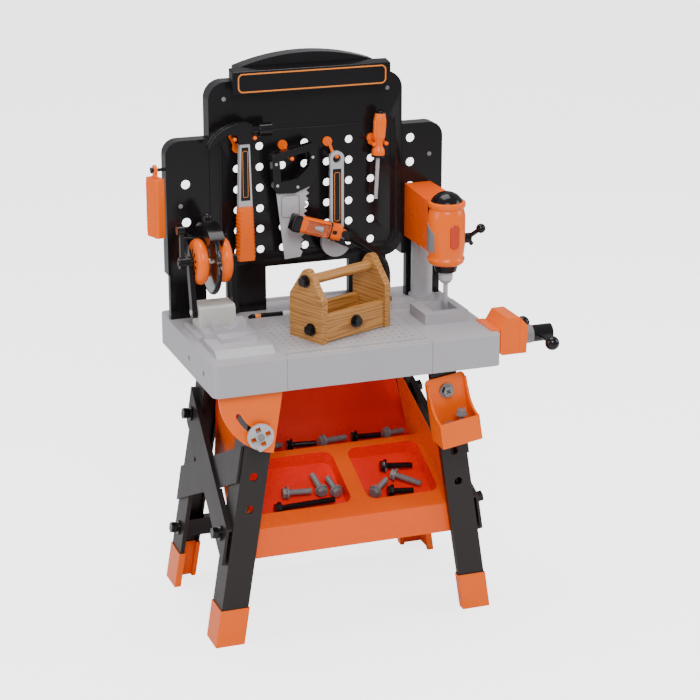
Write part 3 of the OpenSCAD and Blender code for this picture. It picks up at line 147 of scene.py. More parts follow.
# moulded plank grain: rings stretched along one direction
plankGrain, gi, go = newGroup("plankGrain", [("Vector", "NodeSocketVector", None),
    ("Turn", "NodeSocketFloat", radians(-23.0)),
    ("Stretch", "NodeSocketFloat", 0.12)], [("Line", "NodeSocketFloat"), ("Cloud", "NodeSocketFloat")])
turned = plankGrain.nodes.new("ShaderNodeVectorRotate")
turned.rotation_type = "Z_AXIS"
plankGrain.links.new(gi.outputs["Vector"], turned.inputs["Vector"])
plankGrain.links.new(gi.outputs["Turn"], turned.inputs["Angle"])
sep = plankGrain.nodes.new("ShaderNodeSeparateXYZ")
plankGrain.links.new(turned.outputs[0], sep.inputs[0])
comb = plankGrain.nodes.new("ShaderNodeCombineXYZ")
plankGrain.links.new(mathNode(plankGrain, "MULTIPLY", sep.outputs["X"], gi.outputs["Stretch"]),
    comb.inputs[0])
plankGrain.links.new(sep.outputs["Y"], comb.inputs[1])
plankGrain.links.new(sep.outputs["Z"], comb.inputs[2])
wob = noiseNode(plankGrain, comb.outputs[0], 34.0, 3.0)
wave = mathNode(plankGrain, "SINE", mathNode(plankGrain, "ADD",
    mathNode(plankGrain, "MULTIPLY", sep.outputs["Z"], 900.0), mathNode(plankGrain, "MULTIPLY", wob, 42.0)))
plankGrain.links.new(rampNode(plankGrain, mathNode(plankGrain, "ADD",
    mathNode(plankGrain, "MULTIPLY", wave, 0.5), 0.5), [(0.1, grey(0)), (0.55, grey(1))]),
    go.inputs["Line"])
plankGrain.links.new(wob, go.inputs["Cloud"])


def groupNode(tree, group, **values):
    node = tree.nodes.new("ShaderNodeGroup")
    node.node_tree = group
    for label, v in values.items():
        if isinstance(v, (int, float)):
            node.inputs[label].default_value = v
        else:
            tree.links.new(v, node.inputs[label])
    return node


def mixColor(tree, fac, a, b):
    node = tree.nodes.new("ShaderNodeMix")
    node.data_type = "RGBA"
    for label, v in (("Factor", fac), ("A", a), ("B", b)):
        socks = [s for s in node.inputs if s.name == label and s.enabled]
        if isinstance(v, tuple):
            socks[-1].default_value = v if len(v) == 4 else (*v, 1)
        elif isinstance(v, (int, float)):
            socks[-1].default_value = v
        else:
            tree.links.new(v, socks[-1])
    return [s for s in node.outputs if s.enabled][0]


def bumpNode(tree, height, strength, distance=0.0004):
    node = tree.nodes.new("ShaderNodeBump")
    node.inputs["Strength"].default_value = strength
    node.inputs["Distance"].default_value = distance
    tree.links.new(height, node.inputs["Height"])
    return node.outputs[0]


def shader(name):
    mat = bpy.data.materials.new(name)
    mat.use_nodes = True
    tree = mat.node_tree
    bsdf = tree.nodes["Principled BSDF"]
    coords = tree.nodes.new("ShaderNodeTexCoord").outputs["Object"]
    return mat, tree, bsdf, coords


def moldedPlastic(name, color, deep, rough=0.32, spread=0.12, grain=900.0, bump=0.12, wearAndHighlight=0.25, wornAndHighlit=None,
    dust=0.08, coat=0.0, shine=0.5):
    mat, tree, bsdf, coords = shader(name)
    g = groupNode(tree, moldGrain, Vector=coords, Grain=grain)
    base = mixColor(tree, g.outputs["Cloud"], deep, color)
    edge = groupNode(tree, edgeWearAndHighlight, Vector=coords, Amount=wearAndHighlight)
    film = groupNode(tree, dustFilm, Vector=coords, Amount=dust)
    wornAndHighlit = wornAndHighlit or tuple(min(1.0, c * 1.5 + 0.05) for c in color)
    # rounded edges lightened: part wear, part painted highlight
    base = mixColor(tree, edge.outputs["Mask"], base, wornAndHighlit)
    base = mixColor(tree, film.outputs["Mask"], base, (0.55, 0.52, 0.48))
    tree.links.new(base, bsdf.inputs["Base Color"])
    r = mathNode(tree, "ADD", mathNode(tree, "MULTIPLY", g.outputs["Cloud"], spread), rough - spread / 2)
    r = mathNode(tree, "ADD", r, mathNode(tree, "MULTIPLY", film.outputs["Mask"], 0.5), True)
    tree.links.new(r, bsdf.inputs["Roughness"])
    tree.links.new(bumpNode(tree, g.outputs["Height"], bump), bsdf.inputs["Normal"])
    bsdf.inputs["Specular IOR Level"].default_value = shine
    bsdf.inputs["Coat Weight"].default_value = coat
    bsdf.inputs["Coat Roughness"].default_value = 0.12
    return mat


def plankPlastic(name, light, dark, turn, stretch):
    mat, tree, bsdf, coords = shader(name)
    g = groupNode(tree, plankGrain, Vector=coords, Turn=turn, Stretch=stretch)
    edge = groupNode(tree, edgeWearAndHighlight, Vector=coords, Amount=0.5)
    base = mixColor(tree, g.outputs["Line"], dark, light)
    base = mixColor(tree, mathNode(tree, "MULTIPLY", g.outputs["Cloud"], 0.5), base,
        tuple(c * 0.62 for c in light))
    # rounded edges lightened to pale tan: part wear, part painted highlight
    base = mixColor(tree, edge.outputs["Mask"], base, (0.83, 0.52, 0.2))
    tree.links.new(base, bsdf.inputs["Base Color"])
    r = mathNode(tree, "ADD", mathNode(tree, "MULTIPLY", g.outputs["Cloud"], 0.2), 0.36)
    tree.links.new(r, bsdf.inputs["Roughness"])
    tree.links.new(bumpNode(tree, g.outputs["Line"], 0.5, 0.0006), bsdf.inputs["Normal"])
    return mat


def clearPlastic(name, tint, rough):
    mat, tree, bsdf, coords = shader(name)
    g = groupNode(tree, moldGrain, Vector=coords, Grain=300.0)
    tree.links.new(mixColor(tree, g.outputs["Cloud"], tint, tuple(c * 0.94 for c in tint)),
        bsdf.inputs["Base Color"])
    tree.links.new(mathNode(tree, "ADD", mathNode(tree, "MULTIPLY", g.outputs["Cloud"], 0.06), rough),
        bsdf.inputs["Roughness"])
    tree.links.new(bumpNode(tree, g.outputs["Height"], 0.05), bsdf.inputs["Normal"])
    bsdf.inputs["Transmission Weight"].default_value = 1.0
    bsdf.inputs["IOR"].default_value = 1.38
    return mat


orange = (0.98, 0.152, 0.0)
orangeDeep = (0.94, 0.126, 0.0)
looks = {
    "orange": moldedPlastic("orangeMolding", orange, orangeDeep, 0.26, 0.10, 700.0, 0.08, 0.2,
        (1.0, 0.25, 0.02), 0.0, shine=0.3),
    "tray": moldedPlastic("trayMolding", (0.98, 0.12, 0.0), (0.94, 0.095, 0.0), 0.28, 0.1, 500.0, 0.06,
        0.15, (1.0, 0.2, 0.01), 0.0, shine=0.3),
    # deep red painted shade for the tray's pocket interiors and back panel
    "trayPaintedShade": moldedPlastic("trayPaintedShade", (0.97, 0.026, 0.012), (0.93, 0.018, 0.010), 0.28, 0.1, 500.0,
        0.06, 0.15, (1.0, 0.2, 0.01), 0.0, shine=0.3),
    "black": moldedPlastic("blackMolding", (0.009, 0.008, 0.009), (0.006, 0.005, 0.006), 0.17, 0.07, 1100.0,
        0.05, 0.3, (0.04, 0.037, 0.04), 0.0, shine=0.3),
    "leg": moldedPlastic("legMolding", (0.024, 0.018, 0.017), (0.015, 0.012, 0.012), 0.40, 0.14, 1500.0,
        0.14, 0.4, (0.07, 0.06, 0.055), 0.02, shine=0.3),
    "top": moldedPlastic("topMolding", (0.43, 0.415, 0.44), (0.375, 0.36, 0.385), 0.36, 0.12, 1200.0, 0.12,
        0.35, (0.68, 0.67, 0.69), 0.05),
    "cream": moldedPlastic("creamMolding", (0.62, 0.61, 0.57), (0.52, 0.51, 0.48), 0.36, 0.1, 900.0, 0.1,
        0.2),
    "grey": moldedPlastic("greyMolding", (0.24, 0.235, 0.24), (0.17, 0.165, 0.17), 0.34, 0.14, 800.0, 0.14,
        0.4, (0.45, 0.44, 0.45), 0.04),
    "silver": moldedPlastic("silverPaint", (0.50, 0.50, 0.52), (0.40, 0.40, 0.43), 0.26, 0.14, 1300.0, 0.1,
        0.4, (0.75, 0.75, 0.77), 0.02, coat=0.3),
    "red": moldedPlastic("redMolding", (0.62, 0.045, 0.012), (0.5, 0.03, 0.01), 0.22, 0.08, 500.0, 0.06,
        0.2),
    "plankSide": plankPlastic("plankBoards", (0.52, 0.235, 0.055), (0.33, 0.125, 0.024), radians(-23.0),
        0.1),
    "plankEnd": plankPlastic("plankEnds", (0.50, 0.225, 0.052), (0.31, 0.12, 0.024), radians(67.0), 0.1),
    "clear": clearPlastic("clearMolding", (0.97, 0.98, 0.985), 0.01),
    "mark": moldedPlastic("engravedMarks", (0.20, 0.195, 0.21), (0.15, 0.145, 0.16), 0.5, 0.1, 900.0, 0.1,
        0.0),
    "print": moldedPlastic("orangePrint", (0.86, 0.26, 0.03), (0.78, 0.21, 0.025), 0.4, 0.1, 1500.0, 0.04,
        0.1),
    "lamp": moldedPlastic("lampReflector", (0.85, 0.85, 0.84), (0.7, 0.7, 0.7), 0.15, 0.1, 400.0, 0.05, 0.1,
        coat=0.5),
}
print("materials ready:", len(looks))


# ---- helpers that make and place pieces ----
def rounding(obj, width, segments=2, limit=35):
    mod = obj.modifiers.new("roundedEdges", "BEVEL")
    mod.width = width / 1000
    mod.segments = segments
    mod.limit_method = "ANGLE"
    mod.angle_limit = radians(limit)
    mod.harden_normals = True
    mod.use_clamp_overlap = True
    return obj


def fromBmesh(bm, name, look, body, soft=35):
    mesh = bpy.data.meshes.new(name)
    for f in bm.faces:
        f.smooth = True
    bm.normal_update()
    bm.to_mesh(mesh)
    bm.free()
    mesh.set_sharp_from_angle(angle=radians(soft))
    obj = bpy.data.objects.new(name, mesh)
    bpy.context.scene.collection.objects.link(obj)
    mesh.materials.append(looks[look])
    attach(obj, body)
    return obj


def dressed(node, look, width=0.8, segments=2):
    bm = bmesh.new()
    bm.from_mesh(nodes[node].data)
    bmesh.ops.remove_doubles(bm, verts=bm.verts, dist=2e-6)
    bmesh.ops.dissolve_limit(bm, angle_limit=radians(0.6), verts=bm.verts, edges=bm.edges)
    obj = fromBmesh(bm, node + "_skin", look, bodyOf[node])
    if width:
        rounding(obj, width, segments)
    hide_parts(node)
    return obj


def addBox(bm, low, high, turn=None):
    made = bmesh.ops.create_cube(bm, size=1.0)["verts"]
    lo, hi = Vector(low), Vector(high)
    mid, size = (lo + hi) / 2, hi - lo
    for v in made:
        v.co = Vector((v.co.x * size.x, v.co.y * size.y, v.co.z * size.z)) + mid
    if turn:
        for v in made:
            v.co = turn @ v.co
    return made


def addDisc(bm, center, axis, radius, depth, sides=24, cone=1.0):
    made = bmesh.ops.create_cone(bm, cap_ends=True, segments=sides, radius1=radius, radius2=radius * cone,
        depth=depth)["verts"]
    turn = Vector((0, 0, 1)).rotation_difference(Vector(axis).normalized()).to_matrix().to_4x4()
    bmesh.ops.transform(bm, matrix=Matrix.Translation(Vector(center)) @ turn, verts=made)
    return made


# a tube along points, its radius given for each point
def addTube(bm, points, radii, sides=16):
    rings = []
    up = Vector((0, 1, 0))
    for i, p in enumerate(points):
        ahead = points[min(i + 1, len(points) - 1)] - points[max(i - 1, 0)]
        d = ahead.normalized()
        a = up - d * up.dot(d)
        a = (a if a.length > 1e-6 else Vector((1, 0, 0))).normalized()
        b = d.cross(a)
        ring = []
        for k in range(sides):
            turn = 2 * pi * k / sides
            ring.append(bm.verts.new(p + (a * cos(turn) + b * sin(turn)) * radii[i]))
        rings.append(ring)
    for r0, r1 in zip(rings, rings[1:]):
        for k in range(sides):
            bm.faces.new((r0[k], r0[(k + 1) % sides], r1[(k + 1) % sides], r1[k]))
    bm.faces.new(list(reversed(rings[0])))
    bm.faces.new(rings[-1])


# raised outline of a rounded rectangle lying in the plane of two directions
def addOutline(bm, center, across, upward, width, height, corner, band, lift):
    across, upward = Vector(across).normalized(), Vector(upward).normalized()
    outward = across.cross(upward)
    loops = []
    for inset, out in ((0, 0.0), (0, lift), (band, lift), (band, 0.0)):
        loop = []
        for cx, cy, a0 in ((1, 1, 0), (-1, 1, 90), (-1, -1, 180), (1, -1, 270)):
            for step in range(7):
                a = radians(a0 + step * 15)
                r = max(corner - inset, 0.0001)
                x = cx * (width / 2 - corner) + r * cos(a)
                y = cy * (height / 2 - corner) + r * sin(a)
                loop.append(bm.verts.new(Vector(center) + across * x + upward * y + outward * out))
        loops.append(loop)
    n = len(loops[0])
    for i in range(4):
        a, b = loops[i], loops[(i + 1) % 4]
        for k in range(n):
            bm.faces.new((a[k], a[(k + 1) % n], b[(k + 1) % n], b[k]))


# coarse moulded thread round a shank, from one point along a direction
def addThread(bm, start, direction, length, core, ridge, pitch, sides=14):
    d = Vector(direction).normalized()
    turns = max(int(length / pitch), 1)
    points, radii = [], []
    for i in range(turns * 4 + 1):
        points.append(Vector(start) + d * (length * i / (turns * 4)))
        radii.append((core, (core + ridge) / 2, ridge, (core + ridge) / 2)[i % 4])
    addTube(bm, points, radii, sides)


# ---- CAD pieces: each keeps its shape, with rounded edges and its own finish ----
finishes = {
    "leg_front_left": ("leg", 1.0), "leg_front_right": ("leg", 1.0), "leg_back_left": ("leg",
        1.0), "leg_back_right": ("leg", 1.0),
    "feet": ("orange", 1.4), "side_braces_falling": ("leg", 0.9), "side_braces_rising": ("leg",
        0.9), "rear_stretcher": ("black", 1.0),
    "frame_bolts": ("black", 0.7), "storage_tray": ("tray", 1.2), "top_left": ("top",
        1.2), "top_center": ("top", 1.0),
    "top_right": ("top", 1.2), "ruler_strip": ("silver", 0.3), "pegboard_panel": ("black",
        1.5), "wing_left": ("black", 1.8),
    "wing_right": ("black", 1.8), "header_sign": ("black", 2.2), "tool_hooks": ("orange",
        0.5), "hanging_case": ("orange", 1.4),
    "saw_base": ("cream", 1.2), "saw_arms": ("black", 1.6), "saw_drums": ("orange",
        0.6), "saw_blade": ("clear", 0.6),
    "saw_crank": ("black", 0.9), "drill_column": ("silver", 0.6), "drill_bracket": ("tray",
        2.0), "drill_head": ("orange", 0.6),
    "drill_trim": ("black", 0.6), "drill_trigger": ("red", 1.2), "drill_chuck": ("silver",
        0.5), "feed_lever": ("black", 0.4),
    "vise_fixed_jaw": ("orange", 0.7), "vise_jaw": ("orange", 1.4), "vise_barrel": ("grey",
        0.9), "vise_handle": ("black", 0.6),
    "bevel_plate": ("orange", 0.6), "bevel_spindle": ("grey", 0.5), "handwheel": ("silver",
        0.6), "parts_bin": ("orange", 1.0),
    "loose_bolts": ("grey", 0.5), "marker_pen": ("black", 0.4), "hammer_head": ("black",
        0.9), "hammer_shaft": ("silver", 0.6),
    "hammer_grip": ("orange", 0.5), "hand_saw_handle": ("black", 1.6), "hand_saw_blade": ("silver",
        0.25), "wrench_body": ("silver", 0.8),
    "wrench_jaw": ("silver", 0.7), "wrench_worm": ("grey", 0.25), "screwdriver_handle": ("orange",
        0.6), "screwdriver_blade": ("silver", 0.2),
    "flashlight_body": ("orange", 1.2), "flashlight_lens": ("clear", 0.8), "flashlight_switch": ("black",
        0.5), "flashlight_neck": ("black", 0.4),
    "toolbox_ends": ("plankEnd", 1.8), "toolbox_boards": ("plankSide", 1.4), "toolbox_bar": ("plankSide",
        1.2), "toolbox_bolts": ("black", 0.7),
}
skins = {nodeName: dressed(nodeName, look, width) for nodeName, (look, width) in finishes.items()}
print("CAD pieces dressed:", len(finishes))


# gives some of a skin's faces a second look, chosen by where they are
def recolor(skin, look, chosen):
    skin.data.materials.append(looks[look])
    for face in skin.data.polygons:
        if chosen(face.center):
            face.material_index = len(skin.data.materials) - 1


binScrew = at(160, 26, 400)
recolor(skins["frame_bolts"], "grey", lambda c: c.x > binScrew.x and c.y < binScrew.y and c.z > binScrew.z)

# ---- header sign: a bare raised border, with nothing written in it ----
sign = {"middle": (3, 250.3, 935), "width": 270, "height": 33, "corner": 9, "band": 2.2, "lift": 0.7}
bm = bmesh.new()
addOutline(bm, at(*sign["middle"]), (1, 0, 0), (0, 0, 1), sign["width"] / 1000, sign["height"] / 1000,
    sign["corner"] / 1000, sign["band"] / 1000, sign["lift"] / 1000)
fromBmesh(bm, "sign_border", "print", "bench")

# ---- screws that hold the panels ----
screws = {"radius": 4.2, "places": [(-231, 723), (-231, 655), (231, 700), (231, 780), (-150, 905),
    (150, 905)]}
bm = bmesh.new()
for x, z in screws["places"]:
    addDisc(bm, at(x, 275.2, z), (0, -1, 0), screws["radius"] / 1000, 0.0012, 20, 0.8)
    addBox(bm, at(x - 2.6, 274.2, z - 0.5), at(x + 2.6, 274.7, z + 0.5))
    addBox(bm, at(x - 0.5, 274.1, z - 2.6), at(x + 0.5, 274.7, z + 2.6))
fromBmesh(bm, "panel_screws", "grey", "bench")

# ---- work surface: engraved marks and the rule's divisions ----
marks = {"rows": 9, "columns": 19, "first": (-112, 48), "pitch": (12.4, 16.5), "dash": (2.6, 0.8),
    "dot": 1.5}
bm = bmesh.new()
for i in range(marks["columns"]):
    for j in range(marks["rows"]):
        x = marks["first"][0] + i * marks["pitch"][0]
        y = marks["first"][1] + j * marks["pitch"][1]
        halfX, halfY = marks["dash"]
        if (i + j) % 2 == 0:
            addBox(bm, at(x - halfX, y - halfY, 519.6), at(x + halfX, y + halfY, 520.35))
        else:
            addDisc(bm, at(x, y, 520), (0, 0, 1), marks["dot"] / 1000, 0.0007, 10)
fromBmesh(bm, "surface_marks", "mark", "bench")
rule = {"step": 4.0, "first": -124, "span": 248, "backY": 26.4, "half": 0.35, "long": 9, "short": 5}
bm = bmesh.new()
for i in range(int(rule["span"] / rule["step"]) + 1):
    x = rule["first"] + i * rule["step"]
    length = rule["long"] if i % 5 == 0 else rule["short"]
    low = at(x - rule["half"], rule["backY"] - length, 520.5)
    addBox(bm, low, at(x + rule["half"], rule["backY"], 520.85))
fromBmesh(bm, "rule_divisions", "black", "bench")
print("bench top marked")

# ---- loose fasteners: some black, some grey, all with a coarse thread ----
slope = atan2(72, 166)
fastener = {"core": 0.0047, "ridge": 0.0057, "pitch": 0.0034, "axisHeight": 12.3, "pocketDepth": 28,
    "troughFloor": 262}
lots = {
    "pockets": [(-92, 92, -4, 46, "grey"), (-116, 57, 2, 104, "black"), (-28, 86, 96, 42, "grey"),
        (-2, 80, 99, 36, "grey"),
        (66, 66, 40, 40, "grey"), (116, 101, -38, 50, "grey"), (104, 126, -8, 52, "black"), (96, 62, -8, 40,
            "black")],
    "trough": [(-112, 8, 48, "grey"), (-50, -7, 48, "black"), (12, 6, 46, "grey"), (74, -7, 48, "black"),
        (136, 4, 34, "grey")],
}


def onSlope(x, u, n):
    return at(x, 40 + u * cos(slope) - n * sin(slope), 204 + u * sin(slope) + n * cos(slope))


# painted shade: the pockets sink behind the sloping face, and the back panel rises behind its lip; these
# faces get a deeper red that stands in for the shade inside the tray
def shadedTrayFaces(point):
    crease, lipY = onSlope(0, 0, 0), at(0, 208, 0).y
    outward = Vector((0, -sin(slope), cos(slope)))
    inPocket = (point - crease).dot(outward) < -0.0012 and point.z > crease.z
    return inPocket or point.y > lipY


# paint the shade inside the tray onto the pocket and back panel faces
recolor(skins["storage_tray"], "trayPaintedShade", shadedTrayFaces)

shanks = []
lift = fastener["axisHeight"] - fastener["pocketDepth"]
for x, u, turn, length, look in lots["pockets"]:
    c, s = cos(radians(turn)), sin(radians(turn))
    shanks.append((onSlope(x, u, lift), onSlope(x + c * length, u + s * length, lift), look))
for x, turn, length, look in lots["trough"]:
    c, s = cos(radians(turn)), sin(radians(turn))
    z = fastener["troughFloor"] + fastener["axisHeight"]
    shanks.append((at(x, 232, z), at(x + c * length, 232 + s * length, z), look))


def nearestShank(point):
    def gap(shank):
        a, b, look = shank
        t = max(-0.15, min(1.0, (point - a).dot(b - a) / (b - a).length_squared))
        return (point - a.lerp(b, t)).length
    return min(shanks, key=gap)


recolor(skins["loose_bolts"], "black", lambda c: c.z < 0.33 and nearestShank(c)[2] == "black")
for look in ("grey", "black"):
    bm = bmesh.new()
    for a, b, finish in shanks:
        if finish == look:
            step = (b - a).normalized()
            addThread(bm, a + step * 0.007, step, (b - a).length - 0.007, fastener["core"],
                fastener["ridge"], fastener["pitch"])
    fromBmesh(bm, look + "_threads", look, "bolts", 50)
print("fasteners threaded:", len(shanks))

# ---- flashlight: ribbed gooseneck, end cap, lamp inside the window ----
neck = {"pitch": 4.2, "rib": 8.3, "valley": 7.2, "tilt": 34, "pivot": (46.993, 664.5), "planeY": 215.5,
    "straight": (15, 64), "bend": 60, "footZ": 540.5}
tilt = radians(neck["tilt"])
sx, sz = neck["pivot"]
nearEnd, farEnd = neck["straight"]
path = []
for i in range(25):
    d = nearEnd + (farEnd - nearEnd) * i / 24
    path.append(at(sx + d * cos(tilt), neck["planeY"], sz - d * sin(tilt)))
bx = sx + farEnd * cos(tilt) - neck["bend"] * sin(tilt)
bz = sz - farEnd * sin(tilt) - neck["bend"] * cos(tilt)
for i in range(1, 29):
    a = (pi / 2 - tilt) * (1 - i / 28)
    path.append(at(bx + neck["bend"] * cos(a), neck["planeY"], bz + neck["bend"] * sin(a)))
for i in range(1, 15):
    path.append(at(bx + neck["bend"], neck["planeY"], bz + (neck["footZ"] - bz) * i / 14))
fineP, fineR, run = [], [], 0.0
for p, q in zip(path, path[1:]):
    for k in range(3):
        fineP.append(p.lerp(q, k / 3))
for i, p in enumerate(fineP):
    if i:
        run += (p - fineP[i - 1]).length * 1000
    phase = (run / neck["pitch"]) % 1
    fineR.append((neck["rib"] if phase < 0.6 else neck["valley"]) / 1000)
bm = bmesh.new()
addTube(bm, fineP, fineR, 24)
fromBmesh(bm, "gooseneck_ribs", "black", "bench", 50)
print("gooseneck ribbed")

lightTurn = Matrix.Translation(at(sx, neck["planeY"], sz)) @ Matrix.Rotation(radians(17), 4, "Y")


def light(x, y, z):
    return Vector((x / 1000, y / 1000, z / 1000))


def lightBox(name, look, low, high, width):
    bm = bmesh.new()
    addBox(bm, light(*low), light(*high))
    bmesh.ops.transform(bm, matrix=lightTurn, verts=bm.verts)
    return rounding(fromBmesh(bm, name, look, "torch"), width, 3)


lightBox("torch_end_cap", "black", (-101.5, -12.6, -15.1), (-84, 12.6, 15.1), 4)
lightBox("torch_band", "black", (-31, -12.5, -14.9), (-28, 12.5, 14.9), 1)
bm = bmesh.new()
addTube(bm, [light(-60 + i * 2, -7, 0) for i in range(9)], [(0.0012 + 0.0045 * (i / 8) ** 0.6)
    for i in range(9)], 20)
bmesh.ops.transform(bm, matrix=lightTurn, verts=bm.verts)
fromBmesh(bm, "torch_lamp", "lamp", "torch")

# ---- hanging case: raised border and pips on its broad face ----
case = {"x": -272, "y": 287.5, "turn": -72, "thick": 19, "low": 670, "high": 774, "width": 28, "pip": 1.35,
    "pitch": 5.6}
along = Vector((cos(radians(case["turn"])), sin(radians(case["turn"])), 0))
outward = along.cross(Vector((0, 0, 1)))
faceMid = at(case["x"], case["y"], (case["low"] + case["high"]) / 2) + outward * case["thick"] / 2000
bm = bmesh.new()
addOutline(bm, faceMid - outward * 0.0003, along, (0, 0, 1), case["width"] / 1000, 0.094, 0.005, 0.0016,
    0.0012)
for i in range(-2, 3):
    for j in range(-7, 8):
        pip = faceMid + along * (i + 0.5 * (j % 2) - 0.25) * case["pitch"] * 0.85 / 1000 + Vector((0, 0,
            j * case["pitch"] / 1000))
        addDisc(bm, pip, outward, case["pip"] / 1000, 0.0016, 10, 0.6)
fromBmesh(bm, "case_embossing", "orange", "case")

# ---- hand tools ----
pegs = {"pitchX": 41.3, "pitchZ": 37.1, "columns": 7, "rows": 6, "firstX": -127.9, "firstZ": 112.3}
hookZ = bench["topZ"] + pegs["firstZ"] + (pegs["rows"] - 1) * pegs["pitchZ"]
pegX = [pegs["firstX"] + i * pegs["pitchX"] for i in range(pegs["columns"])]
hammerX = pegX[0] + 4
bm = bmesh.new()
label = {"low": -86, "high": 8, "halfLow": 8.5, "halfHigh": 6.2, "frontY": 241.0, "backY": 241.9}
low, high = hookZ + label["low"], hookZ + label["high"]
plate = [(-label["halfLow"], low), (label["halfLow"], low), (label["halfHigh"], high),
    (-label["halfHigh"], high)]
front = [bm.verts.new(at(hammerX + x, label["frontY"], z)) for x, z in plate]
back = [bm.verts.new(at(hammerX + x, label["backY"], z)) for x, z in plate]
bm.faces.new(front)
bm.faces.new(list(reversed(back)))
for k in range(4):
    bm.faces.new((front[(k + 1) % 4], front[k], back[k], back[(k + 1) % 4]))
bmesh.ops.recalc_face_normals(bm, faces=bm.faces)
rounding(fromBmesh(bm, "hammer_label", "black", "hammer"), 0.3)
bm = bmesh.new()
addOutline(bm, at(hammerX, 240.9, (low + high) / 2), (1, 0, 0), (0, 0, 1), 0.0095, (high - low - 12) / 1000,
    0.003, 0.0008, 0.0003)
fromBmesh(bm, "hammer_label_line", "print", "hammer")

bm = bmesh.new()
sawX, sawZ = pegX[2] + 6, hookZ - 12
for x, z in ((-29, -14), (-27, -52), (10, -57), (38, -6)):
    addDisc(bm, at(sawX + x, 239.3, sawZ + z), (0, -1, 0), 0.0028, 0.0014, 20, 0.85)
fromBmesh(bm, "hand_saw_rivets", "silver", "hand_saw")
bm = bmesh.new()
addOutline(bm, at(sawX - 2, 245.9, sawZ - 92), (1, 0, 0), (0, 0, 1), 0.034, 0.040, 0.006, 0.0012, 0.0004)
fromBmesh(bm, "hand_saw_badge", "mark", "hand_saw")

wrenchX, wrenchZ = pegX[4] + 8, hookZ - 26
bm = bmesh.new()
addBox(bm, at(wrenchX - 7.6, 245.3, wrenchZ - 117.6), at(wrenchX + 7.6, 247.3, wrenchZ - 18.4))
rounding(fromBmesh(bm, "wrench_inlay", "black", "wrench"), 0.5)
bm = bmesh.new()
addOutline(bm, at(wrenchX, 245.2, wrenchZ - 68), (1, 0, 0), (0, 0, 1), 0.0105, 0.088, 0.003, 0.0009, 0.0003)
fromBmesh(bm, "wrench_inlay_line", "print", "wrench")

driverTurn = Matrix.Translation(at(pegX[6] + 6, 253.5, hookZ - 6)) @ Matrix.Rotation(radians(3), 4, "Y")
bm = bmesh.new()
addTube(bm, [Vector((0, 0, z / 1000)) for z in (-24.6, -24.2, -20.6, -20.2)],
    [0.0105, 0.0124, 0.0124, 0.0115], 32)
addTube(bm, [Vector((0, 0, z / 1000)) for z in (54, 57, 58.8, 59.2)], [0.0093, 0.0078, 0.006, 0.004], 32)
bmesh.ops.transform(bm, matrix=driverTurn, verts=bm.verts)
fromBmesh(bm, "screwdriver_bands", "black", "screwdriver")
print("hand tools finished")

# ---- pen: printed band and white cap ----
bm = bmesh.new()
addTube(bm, [at(x, 240, 521.5) for x in (-111, -110.6, -101.4, -101)], [0.0046, 0.0048, 0.0048, 0.0046], 32)
fromBmesh(bm, "pen_band", "print", "marker")
bm = bmesh.new()
addTube(bm, [at(x, 240, 521.5) for x in (-60, -59.6, -27.8, -26.8)], [0.0046, 0.0049, 0.0049, 0.004], 32)
fromBmesh(bm, "pen_cap", "lamp", "marker")

# ---- chop saw: vents in the outer faces of the drums ----
sawMid = (-199, 207.5, 641)
vents = {"count": 10, "inner": 0.013, "outer": 0.023, "half": 0.0022, "face": (0.0311, 0.0318)}
bm = bmesh.new()
for side in (-1, 1):
    for i in range(vents["count"]):
        turn = Matrix.Translation(at(*sawMid)) @ Matrix.Rotation(2 * pi * i / vents["count"], 4, "X")
        low, high = sorted((side * vents["face"][0], side * vents["face"][1]))
        addBox(bm, (low, -vents["half"], vents["inner"]), (high, vents["half"], vents["outer"]), turn)
fromBmesh(bm, "saw_motor_vents", "black", "saw_spindle")
print("chop saw finished")

# ---- drill head: grey side insert, rim round the window, vents on the far side ----
head = {"x": 205.5, "y": 129.5, "radius": 33, "low": 618}
insert = {"from": 60, "to": 122, "low": 644, "high": 694, "shoulder": 0.62, "rows": 14, "columns": 12}
bm = bmesh.new()
shells = []
for reach in (head["radius"] + 0.9, head["radius"] - 1.2):
    grid = []
    for i in range(insert["rows"] + 1):
        f = i / insert["rows"]
        taper = max(0.0, (f - insert["shoulder"]) / (1 - insert["shoulder"]))
        start = insert["from"] + (insert["to"] - insert["from"] - 14) * taper ** 1.3
        row = []
        for k in range(insert["columns"] + 1):
            a = radians(start + (insert["to"] - start) * k / insert["columns"])
            z = insert["low"] + (insert["high"] - insert["low"]) * f
            row.append(bm.verts.new(at(head["x"] - reach * sin(a), head["y"] - reach * cos(a), z)))
        grid.append(row)
    shells.append(grid)
outer, inner = shells
for i in range(insert["rows"]):
    for k in range(insert["columns"]):
        bm.faces.new((outer[i][k], outer[i + 1][k], outer[i + 1][k + 1], outer[i][k + 1]))
        bm.faces.new((inner[i][k], inner[i][k + 1], inner[i + 1][k + 1], inner[i + 1][k]))
    for k in (0, insert["columns"]):
        bm.faces.new((outer[i][k], inner[i][k], inner[i + 1][k], outer[i + 1][k]))
for i in (0, insert["rows"]):
    for k in range(insert["columns"]):
        bm.faces.new((outer[i][k], outer[i][k + 1], inner[i][k + 1], inner[i][k]))
bmesh.ops.recalc_face_normals(bm, faces=bm.faces)
rounding(fromBmesh(bm, "drill_side_insert", "grey", "drill_carriage"), 0.5)
bm = bmesh.new()
addOutline(bm, at(head["x"] + 2, head["y"] - 31.2, 672), (1, 0, 0), (0, 0, 1), 0.0215, 0.050, 0.010, 0.0022,
    0.0025)
rounding(fromBmesh(bm, "trigger_frame", "orange", "drill_carriage"), 0.6)
bm = bmesh.new()
for dz in (44, 50, 56, 62):
    turn = Matrix.Translation(at(head["x"], head["y"], head["low"] + dz)) @ Matrix.Rotation(radians(38), 4,
        "Z")
    addBox(bm, (0.0318, -0.009, -0.001), (0.0334, 0.009, 0.001), turn)
fromBmesh(bm, "drill_vents", "black", "drill_carriage")
print("drill finished")

